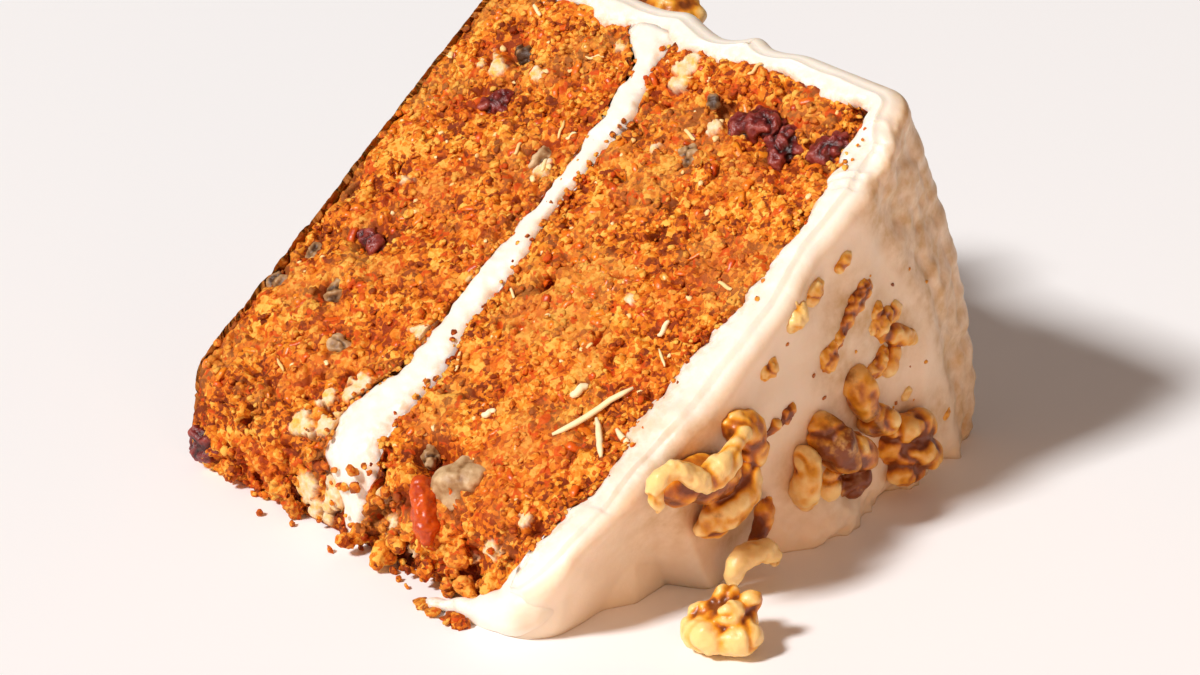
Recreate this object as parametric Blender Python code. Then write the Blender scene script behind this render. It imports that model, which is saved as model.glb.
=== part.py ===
"""A slice of two-layer carrot cake, lying on one of its two cut faces.

Metres, +Z up. The slice is modelled in its own frame first: the round cake's axis runs along +X, from the
underside of the lower layer (x = 0) towards the iced top, and the slice lies on the plane z = 0, fanned up
about that axis. At the end everything is shifted so that the middle of its footprint is the origin.
"""

import math

import bmesh
import bpy
import numpy as np
from mathutils import Euler, Vector

# Driving dimensions of the slice.
CAKE_RADIUS = 0.1095  # baked layers, without their coat
COAT_RADIUS = 0.1142  # outside of the frosting on the rim
WEDGE_ANGLE = math.radians(34.0)
BLUNT_TIP = 0.0208  # how far from the cake's axis the narrow end is broken off
FILLING_FROM, FILLING_TO = 0.0360, 0.0406  # where the filling lies along the axis
TOP_COAT_FROM = 0.0800
COAT_TIP = 0.0174  # the sticky coat tears off nearer to the axis than the crumb
CAKE_HEIGHT = 0.0856
GAP = 0.0003  # clear distance between neighbouring solids

# Shape of the coat.
FOOT_BULGE = 0.0036  # frosting pushed out where the slice rests on its side
FOOT_HALF_WIDTH = 0.0028
SHOULDER_DROP = 0.0045  # how far the top falls away towards the rim at the upper cut
RIM_ROUND = 0.0030
WAVE = 0.0004  # unevenness of the knife cut

# Rows and columns of the faceted solids.
STRAIGHT_POINTS = 12
ARC_POINTS = 12
TIP_POINTS = 5
LAYER_STATIONS = 6
COAT_COLUMNS = 15
NUT_GRID = (14, 8)
RAISIN_GRID = (10, 7)


def slanted(x, radius, below=0.0014):
    """A point at this radius, a little below the upper, slanted cut face."""
    across, up = math.cos(WEDGE_ANGLE), math.sin(WEDGE_ANGLE)
    return Vector((x, radius * across + below * up, radius * up - below * across))


# Toppings: name, centre, half sizes, turn in degrees, seed of the uneven surface.
WALNUTS = (
    ("walnut_large", (0.0893, 0.0428, 0.0214), (0.0050, 0.0098, 0.0074), (8, 0, 0), 3),
    ("walnut_oval", (0.0886, 0.0655, 0.0113), (0.0032, 0.0032, 0.0060), (-8, 0, 0), 5),
    ("walnut_brown", (0.0878, 0.0800, 0.0201), (0.0036, 0.0044, 0.0060), (22, 0, 0), 8),
    ("walnut_skinned", (0.0891, 0.0744, 0.0126), (0.0046, 0.0054, 0.0060), (0, 0, 0), 11),
    ("walnut_low", (0.0878, 0.0914, 0.0070), (0.0044, 0.0064, 0.0060), (-14, 0, 0), 14),
    ("walnut_sunk", (0.0853, 0.0874, 0.0276), (0.0028, 0.0062, 0.0048), (28, 0, 0), 17),
    ("walnut_rim", (0.0265, 0.1010, 0.0598), (0.0072, 0.0058, 0.0044), (32, 0, 14), 20),
    ("walnut_foot", (0.0989, 0.0366, 0.0047), (0.0062, 0.0058, 0.0052), (0, 0, 35), 26),
    ("walnut_curl", (0.0916, 0.0490, 0.0066), (0.0030, 0.0080, 0.0034), (-4, 0, 30), 23),
)
FRUIT = (
    ("raisin_1", slanted(0.0613, 0.1007), (0.0042, 0.0036, 0.0030), (34, 0, 20), 31),
    ("raisin_2", slanted(0.0677, 0.0990), (0.0030, 0.0040, 0.0029), (34, 0, -12), 32),
    ("raisin_3", slanted(0.0752, 0.1010), (0.0031, 0.0037, 0.0028), (34, 0, -30), 33),
    ("raisin_4", slanted(0.0155, 0.0889), (0.0028, 0.0032, 0.0026), (34, 0, 40), 34),
    ("raisin_5", slanted(0.0125, 0.0588), (0.0034, 0.0026, 0.0024), (34, 0, 15), 35),
    ("raisin_6", Vector((0.0048, 0.0212, 0.0045)), (0.0034, 0.0030, 0.0036), (0, 0, 10), 36),
    ("walnut_in_crumb", slanted(0.0572, 0.0294, 0.0022), (0.0046, 0.0040, 0.0034), (34, 0, 25), 37),
    ("carrot_chunk", Vector((0.0554, 0.0228, 0.0122)), (0.0028, 0.0044, 0.0028), (60, 0, 10), 38),
)
CAKE_COLOUR = (0.60, 0.22, 0.045)
FROSTING_COLOUR = (0.88, 0.78, 0.66)
WALNUT_COLOUR = (0.62, 0.34, 0.10)
RAISIN_COLOUR = (0.07, 0.015, 0.012)
CARROT_COLOUR = (0.55, 0.09, 0.02)


def clear_scene():
    for old in list(bpy.data.objects):
        bpy.data.objects.remove(old)


def food_material(name, colour, roughness):
    made = bpy.data.materials.new(name)
    made.use_nodes = True
    surface = made.node_tree.nodes["Principled BSDF"]
    surface.inputs["Base Color"].default_value = (*colour, 1)
    surface.inputs["Roughness"].default_value = roughness
    surface.inputs["Metallic"].default_value = 0
    return made


def add_object(name, mesh, material):
    made = bpy.data.objects.new(name, mesh)
    bpy.context.scene.collection.objects.link(made)
    mesh.materials.append(material)
    mesh.shade_smooth()
    mesh.set_sharp_from_angle(angle=math.radians(50))
    return made


def ring_mesh(name, rings, first_pole, last_pole):
    """A closed skin over a stack of rings with equal point counts, shut by a pole at each end."""
    count = len(rings[0])
    points = [tuple(p) for ring in rings for p in ring] + [tuple(first_pole), tuple(last_pole)]
    low, high = len(points) - 2, len(points) - 1
    last = (len(rings) - 1) * count
    faces = []
    for k in range(count):
        after = (k + 1) % count
        for row in range(0, last, count):
            faces.append((row + k, row + after, row + count + after, row + count + k))
        faces.append((low, after, k))
        faces.append((high, last + k, last + after))
    mesh = bpy.data.meshes.new(name)
    mesh.from_pydata(points, [], faces)
    working = bmesh.new()
    working.from_mesh(mesh)
    bmesh.ops.recalc_face_normals(working, faces=working.faces)
    working.to_mesh(mesh)
    working.free()
    return mesh


def fillet(before, corner, after, radius, count):
    """Points that round a corner between two others with a parabolic arc."""
    start = corner + (before - corner).normalized() * radius
    end = corner + (after - corner).normalized() * radius
    points = []
    for t in np.linspace(0, 1, count):
        points.append(start * (1 - t) ** 2 + corner * 2 * t * (1 - t) + end * t**2)
    return points


def between(start, end, count):
    """Points inside a straight stretch, without its ends."""
    return [start.lerp(end, t) for t in np.linspace(0, 1, count + 2)[1:-1]]


def slice_outline(radius, grow=0.0):
    """The slice seen along the cake's axis, as (y, z) points: cut face down, rim, cut face up, blunt tip."""
    radius += grow
    tip = BLUNT_TIP - grow
    low = -grow
    lift = grow / math.cos(WEDGE_ANGLE)
    height_at = lambda y: y * math.tan(WEDGE_ANGLE) + lift
    tip_low, tip_high = Vector((tip, low)), Vector((tip, height_at(tip)))
    rim_low = Vector((radius, low))
    rim_high = Vector((radius * math.cos(WEDGE_ANGLE), height_at(radius * math.cos(WEDGE_ANGLE))))
    start = fillet(tip_high, tip_low, rim_low, 0.0012, 3)
    end = fillet(rim_high, tip_high, tip_low, 0.0045, 4)
    arc = []
    for angle in np.linspace(0, WEDGE_ANGLE, ARC_POINTS + 2)[1:-1]:
        arc.append(Vector((radius * math.cos(angle), radius * math.sin(angle))))
    outline = start + between(start[-1], rim_low, STRAIGHT_POINTS) + [rim_low] + arc + [rim_high]
    outline += between(rim_high, end[0], STRAIGHT_POINTS) + end
    outline += between(end[-1], start[0], TIP_POINTS)
    return np.array(outline)


def cut_unevenness(x, outline):
    """Outline (y, z) at one x with the waves of its cut and torn faces, none where it rests or meets the rim."""
    y, z = outline[:, 0], outline[:, 1]
    height = z / (y * math.tan(WEDGE_ANGLE))
    near_cut = np.clip((height - 0.75) / 0.25, 0, 1)
    near_cut *= np.clip((CAKE_RADIUS * 0.97 - np.hypot(y, z)) / 0.004, 0, 1)
    wave = np.sin(310 * y + 170 * x) + np.sin(190 * y - 420 * x + 1.3)
    near_tip = np.clip((BLUNT_TIP + 0.001 - y) / 0.001, 0, 1) * np.clip(z / 0.002, 0, 1)
    torn = np.sin(900 * x + 600 * z) * 0.0006
    moved = outline.copy()
    moved[:, 1] += WAVE * wave * near_cut
    moved[:, 0] += torn * near_tip
    return moved


def filling_edge(base, side, y, z):
    """Where a face of the filling lies: it wavers, and it spreads towards the narrow end."""
    radius = np.hypot(y, z)
    spread = 0.0030 * np.exp(-(((radius - 0.020) / 0.016) ** 2))
    waver = 0.0004 * np.sin(150 * radius + 1.0) + 0.0003 * np.sin(90 * z + 60 * y)
    return base + waver + side * spread * (1.0 if side < 0 else 0.35)


def coat_edge(y, z):
    """Where the upper layer meets the top coat."""
    radius = np.hypot(y, z)
    return TOP_COAT_FROM - 0.0045 * np.exp(-(((radius - 0.016) / 0.010) ** 2)) + 0.0004 * np.sin(120 * radius)


def slab(name, low_face, high_face, radius, stations, round_low, round_high):
    """A piece of the slice between two faces across the axis, each given as x over (y, z)."""
    outline = slice_outline(radius)
    middle = outline.mean(axis=0)
    rings = []
    levels = np.linspace(0, 1, stations)
    shrunk = lambda share: middle + (outline - middle) * share
    face_x = lambda face, ring: np.broadcast_to(face(ring[:, 0], ring[:, 1]), len(ring))
    for share in (0.4, 0.75):
        ring = shrunk(share)
        rings.append(np.column_stack([face_x(low_face, ring), ring]))
    for level in levels:
        inset = round_low * (level == 0) + round_high * (level == 1)
        ring = cut_unevenness(level, shrunk(1 - inset))
        x = face_x(low_face, ring) * (1 - level) + face_x(high_face, ring) * level
        rings.append(np.column_stack([x, ring]))
    for share in (0.75, 0.4):
        ring = shrunk(share)
        rings.append(np.column_stack([face_x(high_face, ring), ring]))
    for ring in rings:
        ring[:, 2] = np.maximum(ring[:, 2], 0)
    poles = []
    for face in (low_face, high_face):
        poles.append((float(face(np.array([middle[0]]), np.array([middle[1]]))[0]), *middle))
    return ring_mesh(name, rings, *poles)


def hill(y, z, centre_y, centre_z, wide, tall):
    """A smooth bump of height 1."""
    return math.exp(-(((y - centre_y) / wide) ** 2) - ((z - centre_z) / tall) ** 2)


def top_relief(y, z):
    """How far the iced top stands out from its plane at (y, z)."""
    radius, angle = math.hypot(y, z), math.atan2(z, y)
    relief = FOOT_BULGE * hill(y, z, 0.0712, 0.002, 0.0080, 0.0110)
    relief += 0.0022 * hill(radius, angle, 0.062, WEDGE_ANGLE, 0.014, 0.14)
    relief -= 0.0058 * hill(y, z, 0.018, 0, 0.014, 0.008)
    relief -= 0.0034 * hill(y, z, 0.040, 0, 0.011, 0.006)
    shoulder = 0.1045 - 0.0085 * angle / WEDGE_ANGLE
    past = max(0.0, (radius - shoulder) / (COAT_RADIUS - shoulder))
    relief -= past * SHOULDER_DROP * (0.2 + 0.8 * angle / WEDGE_ANGLE)
    return relief


def coat_section(angle):
    """The coat cut at one angle about the axis: matching inner and outer points, as (x, radius) pairs."""
    across = math.cos(angle)
    tip_inner, tip_outer = COAT_TIP / across, (COAT_TIP + 0.0016) / across
    flat = [(t, tip_outer + (COAT_RADIUS - 0.004 - tip_outer) * t) for t in np.linspace(0, 1, 14)]
    inner, outer = [], []
    corner = CAKE_RADIUS + GAP
    for t, outer_radius in flat:
        radius = tip_inner + (corner - tip_inner) * t
        y, z = radius * across, radius * math.sin(angle)
        inner.append((float(coat_edge(np.array(y), np.array(z))) + GAP, radius))
        y, z = outer_radius * across, outer_radius * math.sin(angle)
        outer.append((CAKE_HEIGHT + top_relief(y, z), outer_radius))
    edge_x = outer[-1][0]
    corner_x = inner[-1][0]
    for t in np.linspace(0, 1, 10)[1:]:
        turn = min(1.0, t * 3.0) * math.pi / 2
        outer_x = edge_x - RIM_ROUND * (1 - math.cos(turn)) * 1.2
        outer_x *= 1 - max(0.0, (t - 1 / 3) * 1.5)
        bump = 0.0004 * math.sin(9 * angle + 80 * outer_x)
        inner.append((corner_x * (1 - t), corner))
        outer.append((outer_x, COAT_RADIUS - 0.004 * (1 - math.sin(turn)) + bump))
    inner[-1] = (-0.0002, corner)
    outer[-1] = (-0.0002, outer[-1][1])
    return inner, outer


def coat_mesh():
    """Frosting over the top and down the rim: an L-shaped section carried round the wedge."""
    rings = []
    for angle in np.linspace(0, WEDGE_ANGLE, COAT_COLUMNS):
        inner, outer = coat_section(angle)
        ring = inner + outer[::-1]
        rings.append([(x, r * math.cos(angle), r * math.sin(angle)) for x, r in ring])
    count = len(rings[0])
    points = [p for ring in rings for p in ring]
    faces = []
    for row in range(len(rings) - 1):
        for k in range(count):
            after = (k + 1) % count
            start = row * count
            faces.append((start + k, start + after, start + count + after, start + count + k))
    last = (len(rings) - 1) * count
    for k in range(count // 2 - 1):
        quad = (k, k + 1, count - 2 - k, count - 1 - k)
        faces.append(quad)
        faces.append(tuple(last + q for q in reversed(quad)))
    mesh = bpy.data.meshes.new("frosting")
    mesh.from_pydata(points, [], faces)
    working = bmesh.new()
    working.from_mesh(mesh)
    bmesh.ops.recalc_face_normals(working, faces=working.faces)
    working.to_mesh(mesh)
    working.free()
    return mesh


def lobed_mesh(name, centre, half_sizes, turn, seed, grid, depth, grow=0.0):
    """An uneven closed lump: an ellipsoid whose radius swells and dips in seeded waves."""
    around, rows = grid
    draw = np.random.default_rng(seed)
    waves = [(draw.normal(size=3) * 1.9, draw.uniform(0, 2 * math.pi)) for _ in range(5)]
    rotation = Euler([math.radians(a) for a in turn]).to_matrix()
    sizes = Vector(half_sizes) + Vector((grow, grow, grow))

    def skin_point(polar, azimuth):
        way = Vector((math.sin(polar) * math.cos(azimuth), math.sin(polar) * math.sin(azimuth), math.cos(polar)))
        swell = sum(math.sin(2 * way.dot(Vector(w)) + phase) for w, phase in waves) / len(waves)
        point = rotation @ Vector([a * b for a, b in zip(way, sizes)]) * (1 + depth * swell)
        placed = Vector(centre) + point
        placed.z = max(placed.z, -grow)
        return placed

    rings = []
    for polar in np.linspace(0, math.pi, rows + 2)[1:-1]:
        rings.append([skin_point(polar, a) for a in np.linspace(0, 2 * math.pi, around, endpoint=False)])
    return ring_mesh(name, rings, skin_point(0, 0), skin_point(math.pi, 0))


def lump(kind, entry, material=None, grow=0.0):
    """A nut or raisin from its row in the lists above, or with grow the larger copy that cuts its seat."""
    name, centre, half_sizes, turn, seed = entry
    grid = NUT_GRID if kind == "nut" else RAISIN_GRID
    depth = 0.16 if kind == "nut" else 0.12
    if grow:
        name += "_seat"
    mesh = lobed_mesh(name, centre, half_sizes, turn, seed, grid, depth, grow)
    made = add_object(name, mesh, material or bpy.data.materials[0])
    if grow:
        made.hide_render = True
        made.display_type = "WIRE"
    return made


def combine(target, tool, operation):
    modifier = target.modifiers.new(tool.name, "BOOLEAN")
    modifier.operation = operation
    modifier.object = tool


def foot_smear():
    """Frosting squeezed out along the broken tip: a flat tongue that climbs into the coat."""
    rings = []
    start, end = Vector((0.0578, 0.0172, 0)), Vector((0.0805, 0.0180, 0))
    for along in np.linspace(0, 1, 12)[1:-1]:
        middle = start.lerp(end, along)
        full = math.sin(math.pi * along) ** 0.4
        tall = full * (0.0016 + 0.0080 * along**2.5)
        ring = []
        for azimuth in np.linspace(0, 2 * math.pi, 14, endpoint=False):
            y = middle.y + FOOT_HALF_WIDTH * full * math.cos(azimuth)
            ring.append((middle.x, y, max(0.0, tall * math.sin(azimuth))))
        rings.append(ring)
    made = add_object("foot_smear", ring_mesh("foot_smear", rings, start, end), bpy.data.materials[0])
    made.hide_render = True
    made.display_type = "WIRE"
    return made


def stand_on_origin(pieces):
    """Shifts everything so that the middle of the footprint's box is the origin."""
    bpy.context.view_layer.update()
    graph = bpy.context.evaluated_depsgraph_get()
    corners = []
    for piece in pieces:
        finished = piece.evaluated_get(graph)
        corners += [tuple(finished.matrix_world @ Vector(corner)) for corner in finished.bound_box]
    low, high = np.min(corners, axis=0), np.max(corners, axis=0)
    middle = Vector((low + high) / 2)
    middle.z = low[2]
    for every in bpy.data.objects:
        every.location -= middle
    return middle


def build():
    clear_scene()
    cake = food_material("carrot_cake", CAKE_COLOUR, 0.75)
    icing = food_material("frosting", FROSTING_COLOUR, 0.5)
    nut = food_material("walnut", WALNUT_COLOUR, 0.5)
    raisin = food_material("raisin", RAISIN_COLOUR, 0.4)
    carrot = food_material("carrot", CARROT_COLOUR, 0.4)

    underside = lambda y, z: 0.0 * y
    filling_low = lambda y, z: filling_edge(FILLING_FROM, -1, y, z)
    filling_high = lambda y, z: filling_edge(FILLING_TO, 1, y, z)
    lower_top = lambda y, z: filling_low(y, z) - GAP
    upper_bottom = lambda y, z: filling_high(y, z) + GAP
    upper_top = lambda y, z: coat_edge(y, z)
    lower = add_object("cake_layer_lower", slab("cake_layer_lower", underside, lower_top, CAKE_RADIUS,
                                                LAYER_STATIONS, 0.015, 0), cake)
    filling = add_object("filling", slab("filling", filling_low, filling_high, CAKE_RADIUS, 3, 0, 0), icing)
    upper = add_object("cake_layer_upper", slab("cake_layer_upper", upper_bottom, upper_top, CAKE_RADIUS,
                                                LAYER_STATIONS, 0, 0), cake)
    coat = add_object("frosting", coat_mesh(), icing)
    combine(coat, foot_smear(), "UNION")

    pieces = [lower, filling, upper, coat]
    for entry in WALNUTS:
        pieces.append(lump("nut", entry, nut))
        combine(coat, lump("nut", entry, grow=GAP), "DIFFERENCE")
    skinned = bpy.data.objects["walnut_skinned"]
    combine(skinned, bpy.data.objects["walnut_brown_seat"], "DIFFERENCE")
    combine(bpy.data.objects["walnut_curl"], bpy.data.objects["walnut_foot_seat"], "DIFFERENCE")

    for entry in FRUIT:
        kind = carrot if entry[0] == "carrot_chunk" else nut if entry[0].startswith("walnut") else raisin
        made = lump("fruit", entry, kind)
        seat = lump("fruit", entry, grow=GAP)
        combine(lower if entry[1][0] < FILLING_FROM else upper, seat, "DIFFERENCE")
        pieces.append(made)
    combine(bpy.data.objects["walnut_in_crumb"], bpy.data.objects["carrot_chunk_seat"], "DIFFERENCE")
    combine(bpy.data.objects["raisin_2"], bpy.data.objects["raisin_1_seat"], "DIFFERENCE")
    print("origin in the slice's own frame:", [round(v, 5) for v in stand_on_origin(pieces)])


build()
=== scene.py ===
import math
import bmesh
import bpy
import numpy as np
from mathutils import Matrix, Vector


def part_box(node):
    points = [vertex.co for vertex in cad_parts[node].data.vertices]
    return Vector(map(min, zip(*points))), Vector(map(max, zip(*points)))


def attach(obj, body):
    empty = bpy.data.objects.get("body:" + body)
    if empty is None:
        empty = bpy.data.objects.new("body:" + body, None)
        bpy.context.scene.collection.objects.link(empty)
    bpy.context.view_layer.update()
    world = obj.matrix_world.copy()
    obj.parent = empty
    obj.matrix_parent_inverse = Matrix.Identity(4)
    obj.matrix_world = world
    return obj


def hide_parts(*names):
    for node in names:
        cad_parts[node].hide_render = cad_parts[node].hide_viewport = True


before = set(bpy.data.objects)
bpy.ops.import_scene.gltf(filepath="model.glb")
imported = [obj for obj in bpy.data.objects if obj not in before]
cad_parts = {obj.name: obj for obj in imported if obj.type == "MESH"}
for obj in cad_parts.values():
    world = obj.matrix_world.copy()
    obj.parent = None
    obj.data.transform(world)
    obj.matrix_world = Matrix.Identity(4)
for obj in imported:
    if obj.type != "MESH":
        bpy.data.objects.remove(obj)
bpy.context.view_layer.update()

# The slice in millimetres: x runs from the cake's underside to its iced top, y from the broken tip out to the
# rim, z up from the cut face that it lies on. The cake's own axis is the line y = 0, z = 0.
cake = {
    "wedgeAngle": math.radians(34),
    "cakeRadius": 109.5,
    "bluntTip": 20.8,
    "fillingFrom": 36.0,
    "fillingTo": 40.6,
    "height": 85.6,
    "coatRadius": 114.2,
    "coatTip": 17.4,
}
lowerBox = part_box("cake_layer_lower")
sliceOrigin = np.array([lowerBox[0].x, lowerBox[1].y - cake["cakeRadius"] / 1000, 0.0])
cutNormal = np.array([0, -math.sin(cake["wedgeAngle"]), math.cos(cake["wedgeAngle"])])


def onCut(x, radius, above=0.0):
    # points of the slanted cut face: x along the cake, distance from the cake's axis, and height above the
    # face
    x, radius = np.broadcast_arrays(np.asarray(x, float), np.asarray(radius, float))
    angle = cake["wedgeAngle"]
    flat = np.stack([x, radius * math.cos(angle), radius * math.sin(angle)], axis=-1)
    return flat + np.multiply.outer(np.broadcast_to(above, x.shape), cutNormal)


def cellRandom(cells, seed):
    # a fixed number from 0 to 1 for each whole-numbered cell: its coordinates are multiplied by primes and
    # folded
    mixed = cells[..., 0] * 374761393 + cells[..., 1] * 668265263 + cells[..., 2] * 1911520717
    mixed = mixed + seed * 1274126177
    mixed = (mixed ^ (mixed >> 13)) * 1274126177
    mixed = mixed ^ (mixed >> 16)
    return (mixed & 0xFFFFFF) / 0xFFFFFF


def softNoise(points, size, seed):
    # smooth noise from -1 to 1: random numbers at lattice corners, blended with 3t^2 - 2t^3
    scaled = points / size
    base = np.floor(scaled).astype(np.int64)
    part = scaled - base
    part = part * part * (3 - 2 * part)
    total = 0.0
    for corner in np.ndindex(2, 2, 2):
        corner = np.array(corner)
        weight = np.prod(np.where(corner, part, 1 - part), axis=-1)
        total = total + weight * cellRandom(base + corner, seed)
    return total * 2 - 1


def layeredNoise(points, size, seed, layers=3):
    # soft noise added up at halving sizes and halving strengths
    total = 0.0
    for layer in range(layers):
        total = total + softNoise(points, size / 2**layer, seed + layer) / 2**layer
    return total


def cellDistance(points, size, seed):
    # distance, in cell sizes, to the nearest of one random point per cell, and that point's own random number
    scaled = points / size
    base = np.floor(scaled).astype(np.int64)
    nearest = np.full(points.shape[:-1], 9.0)
    chosen = np.zeros(points.shape[:-1])
    for step in np.ndindex(3, 3, 3):
        cell = base + np.array(step) - 1
        centre = cell + np.stack([cellRandom(cell, seed + k) for k in (1, 2, 3)], axis=-1)
        distance = np.linalg.norm(scaled - centre, axis=-1)
        closer = distance < nearest
        nearest = np.where(closer, distance, nearest)
        chosen = np.where(closer, cellRandom(cell, seed + 4), chosen)
    return nearest, chosen


def rise(value, start, end):
    # 0 below start, 1 above end, and an S-shaped climb between
    part = np.clip((value - start) / (end - start), 0, 1)
    return part * part * (3 - 2 * part)


def bump(distance, width):
    # a bell curve: 1 at distance 0
    return np.exp(-((distance / width) ** 2))


def makeMesh(name, points, faces, material, values=None):
    # points in slice millimetres; faces a whole-number array with 3 or 4 columns; values are named numbers
    # per point
    mesh = bpy.data.meshes.new(name)
    places = points / 1000 + sliceOrigin
    corners = faces.shape[1]
    mesh.vertices.add(len(places))
    mesh.vertices.foreach_set("co", places.astype(np.float32).ravel())
    mesh.loops.add(faces.size)
    mesh.loops.foreach_set("vertex_index", faces.astype(np.int32).ravel())
    mesh.polygons.add(len(faces))
    mesh.polygons.foreach_set("loop_start", np.arange(0, faces.size, corners, dtype=np.int32))
    mesh.polygons.foreach_set("loop_total", np.full(len(faces), corners, dtype=np.int32))
    mesh.update(calc_edges=True)
    mesh.shade_smooth()
    for key, numbers in (values or {}).items():
        attribute = mesh.attributes.new(key, "FLOAT", "POINT")
        attribute.data.foreach_set("value", np.asarray(numbers, np.float32).ravel())
    mesh.materials.append(material)
    piece = bpy.data.objects.new(name, mesh)
    bpy.context.scene.collection.objects.link(piece)
    return piece


def signedVolume(points, faces):
    # a sixth of the sum of each triangle's corner products: positive when faces point outwards
    first, second, third = (points[faces[:, k]] for k in range(3))
    total = np.einsum("ij,ij->", first, np.cross(second, third))
    if faces.shape[1] == 4:
        fourth = points[faces[:, 3]]
        total += np.einsum("ij,ij->", first, np.cross(third, fourth))
    return total / 6


def gridFaces(rows, columns, around=True):
    # quads between neighbouring rows; around joins the last column to the first
    row, column = np.meshgrid(np.arange(rows - 1), np.arange(columns - (0 if around else 1)), indexing="ij")
    after = (column + 1) % columns
    quads = np.stack([row * columns + column, row * columns + after,
                      (row + 1) * columns + after, (row + 1) * columns + column], axis=-1)
    return quads.reshape(-1, 4)


def fillEnds(piece):
    # closes the two open ends of a stack of rings with flat triangles
    work = bmesh.new()
    work.from_mesh(piece.data)
    filled = bmesh.ops.holes_fill(work, edges=work.edges[:], sides=0)["faces"]
    bmesh.ops.recalc_face_normals(work, faces=work.faces[:])
    filled = bmesh.ops.triangulate(work, faces=filled)["faces"]
    for face in filled:
        face.smooth = False
    work.to_mesh(piece.data)
    work.free()


def closedSkin(grid, values):
    # a stack of rings shut by a point at each end, as quads; an end's fan repeats its point, so it is a
    # sliver quad
    rows, columns = grid.shape[:2]
    points = np.vstack([grid.reshape(-1, 3), grid[0].mean(axis=0), grid[-1].mean(axis=0)])
    faces = gridFaces(rows, columns)
    k = np.arange(0, columns - 1, 2)
    low, high = len(points) - 2, len(points) - 1
    top = (rows - 1) * columns
    fans = [np.stack([np.full_like(k, low), (k + 2) % columns, k + 1, k], axis=-1),
            np.stack([np.full_like(k, high), top + k, top + k + 1, top + (k + 2) % columns], axis=-1)]
    faces = np.vstack([faces] + fans)
    if signedVolume(points, faces) < 0:
        faces = faces[:, ::-1]
    full = {}
    for key, numbers in values.items():
        full[key] = np.concatenate([numbers.ravel(), [numbers[0].mean(), numbers[-1].mean()]])
    return points, faces, full


def gridNormals(grid):
    # the cross product of the steps along and around the grid, scaled to length 1
    along = np.gradient(grid, axis=0)
    around = np.roll(grid, -1, axis=1) - np.roll(grid, 1, axis=1)
    normals = np.cross(around, along)
    return normals / np.maximum(np.linalg.norm(normals, axis=-1, keepdims=True), 1e-9)


class Wire:
    # wraps a node's output socket so that sums and products of sockets read as sums and products
    def __init__(self, nodes, socket):
        self.nodes = nodes
        self.socket = socket

    def combine(self, operation, other, flipped=False):
        # one maths node whose two inputs are this wire and the other value
        pair = (other, self) if flipped else (self, other)
        return self.nodes.add("ShaderNodeMath", {"operation": operation}, {0: pair[0], 1: pair[1]})

    def __add__(self, other):
        return self.combine("ADD", other)

    def __sub__(self, other):
        return self.combine("SUBTRACT", other)

    def __rsub__(self, other):
        return self.combine("SUBTRACT", other, flipped=True)

    def __mul__(self, other):
        return self.combine("MULTIPLY", other)

    __radd__ = __add__
    __rmul__ = __mul__


class Finish:
    # a material and the nodes added to it
    def __init__(self, name, settings):
        self.material = bpy.data.materials.new(name)
        self.material.use_nodes = True
        self.tree = self.material.node_tree
        self.surface = self.tree.nodes["Principled BSDF"]
        for key, value in settings.items():
            self.surface.inputs[key].default_value = value

    def add(self, kind, settings=None, sockets=None, output=0):
        # one node: its settings first, then values or links for its sockets, by name or number
        node = self.tree.nodes.new(kind)
        for key, value in (settings or {}).items():
            if key == "stops":
                ramp = node.color_ramp
                while len(ramp.elements) < len(value):
                    ramp.elements.new(1.0)
                for element, (place, colour) in zip(ramp.elements, value):
                    element.position = place
                    element.color = (*colour, 1)
            else:
                setattr(node, key, value)
        for key, value in (sockets or {}).items():
            if isinstance(value, Wire):
                self.tree.links.new(value.socket, node.inputs[key])
            else:
                node.inputs[key].default_value = value
        return Wire(self, node.outputs[output])

    def places(self):
        # the surface's own coordinates, in metres
        return self.add("ShaderNodeTexCoord", output="Object")

    def noise(self, size, detail=3.0, roughness=0.55, offset=0.0, distortion=0.0):
        # noise from 0 to 1 whose lumps are about this many millimetres
        shift = {0: self.places(), 1: (offset, offset, offset)}
        moved = self.add("ShaderNodeVectorMath", {"operation": "ADD"}, shift)
        sockets = {"Vector": moved, "Scale": 1000 / size, "Detail": detail, "Roughness": roughness,
                   "Distortion": distortion}
        return self.add("ShaderNodeTexNoise", None, sockets)

    def value(self, name):
        # a number stored at the mesh's points
        return self.add("ShaderNodeAttribute", {"attribute_name": name}, output="Fac")

    def ramp(self, factor, stops):
        # colours blended in straight lines between the stops
        return self.add("ShaderNodeValToRGB", {"stops": stops}, {"Fac": factor})

    def step(self, factor, start, end):
        # an even climb from 0 at start to 1 at end
        sockets = {"Value": factor, "From Min": start, "From Max": end}
        return self.add("ShaderNodeMapRange", {"clamp": True}, sockets)

    def mix(self, factor, first, second, blend="MIX"):
        # two colours mixed; numbers 6 and 7 are the Mix node's colour sockets
        first = (*first, 1) if isinstance(first, tuple) else first
        second = (*second, 1) if isinstance(second, tuple) else second
        settings = {"data_type": "RGBA", "blend_type": blend}
        return self.add("ShaderNodeMix", settings, {0: factor, 6: first, 7: second}, output=2)

    def bumps(self, height, strength, distance):
        # a bump of so many millimetres into the surface's normal
        sockets = {"Height": height, "Strength": strength, "Distance": distance / 1000}
        return self.set("Normal", self.add("ShaderNodeBump", None, sockets, output="Normal"))

    def set(self, name, wire):
        # feeds a wire into the surface shader
        self.tree.links.new(wire.socket, self.surface.inputs[name])
        return wire


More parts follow.
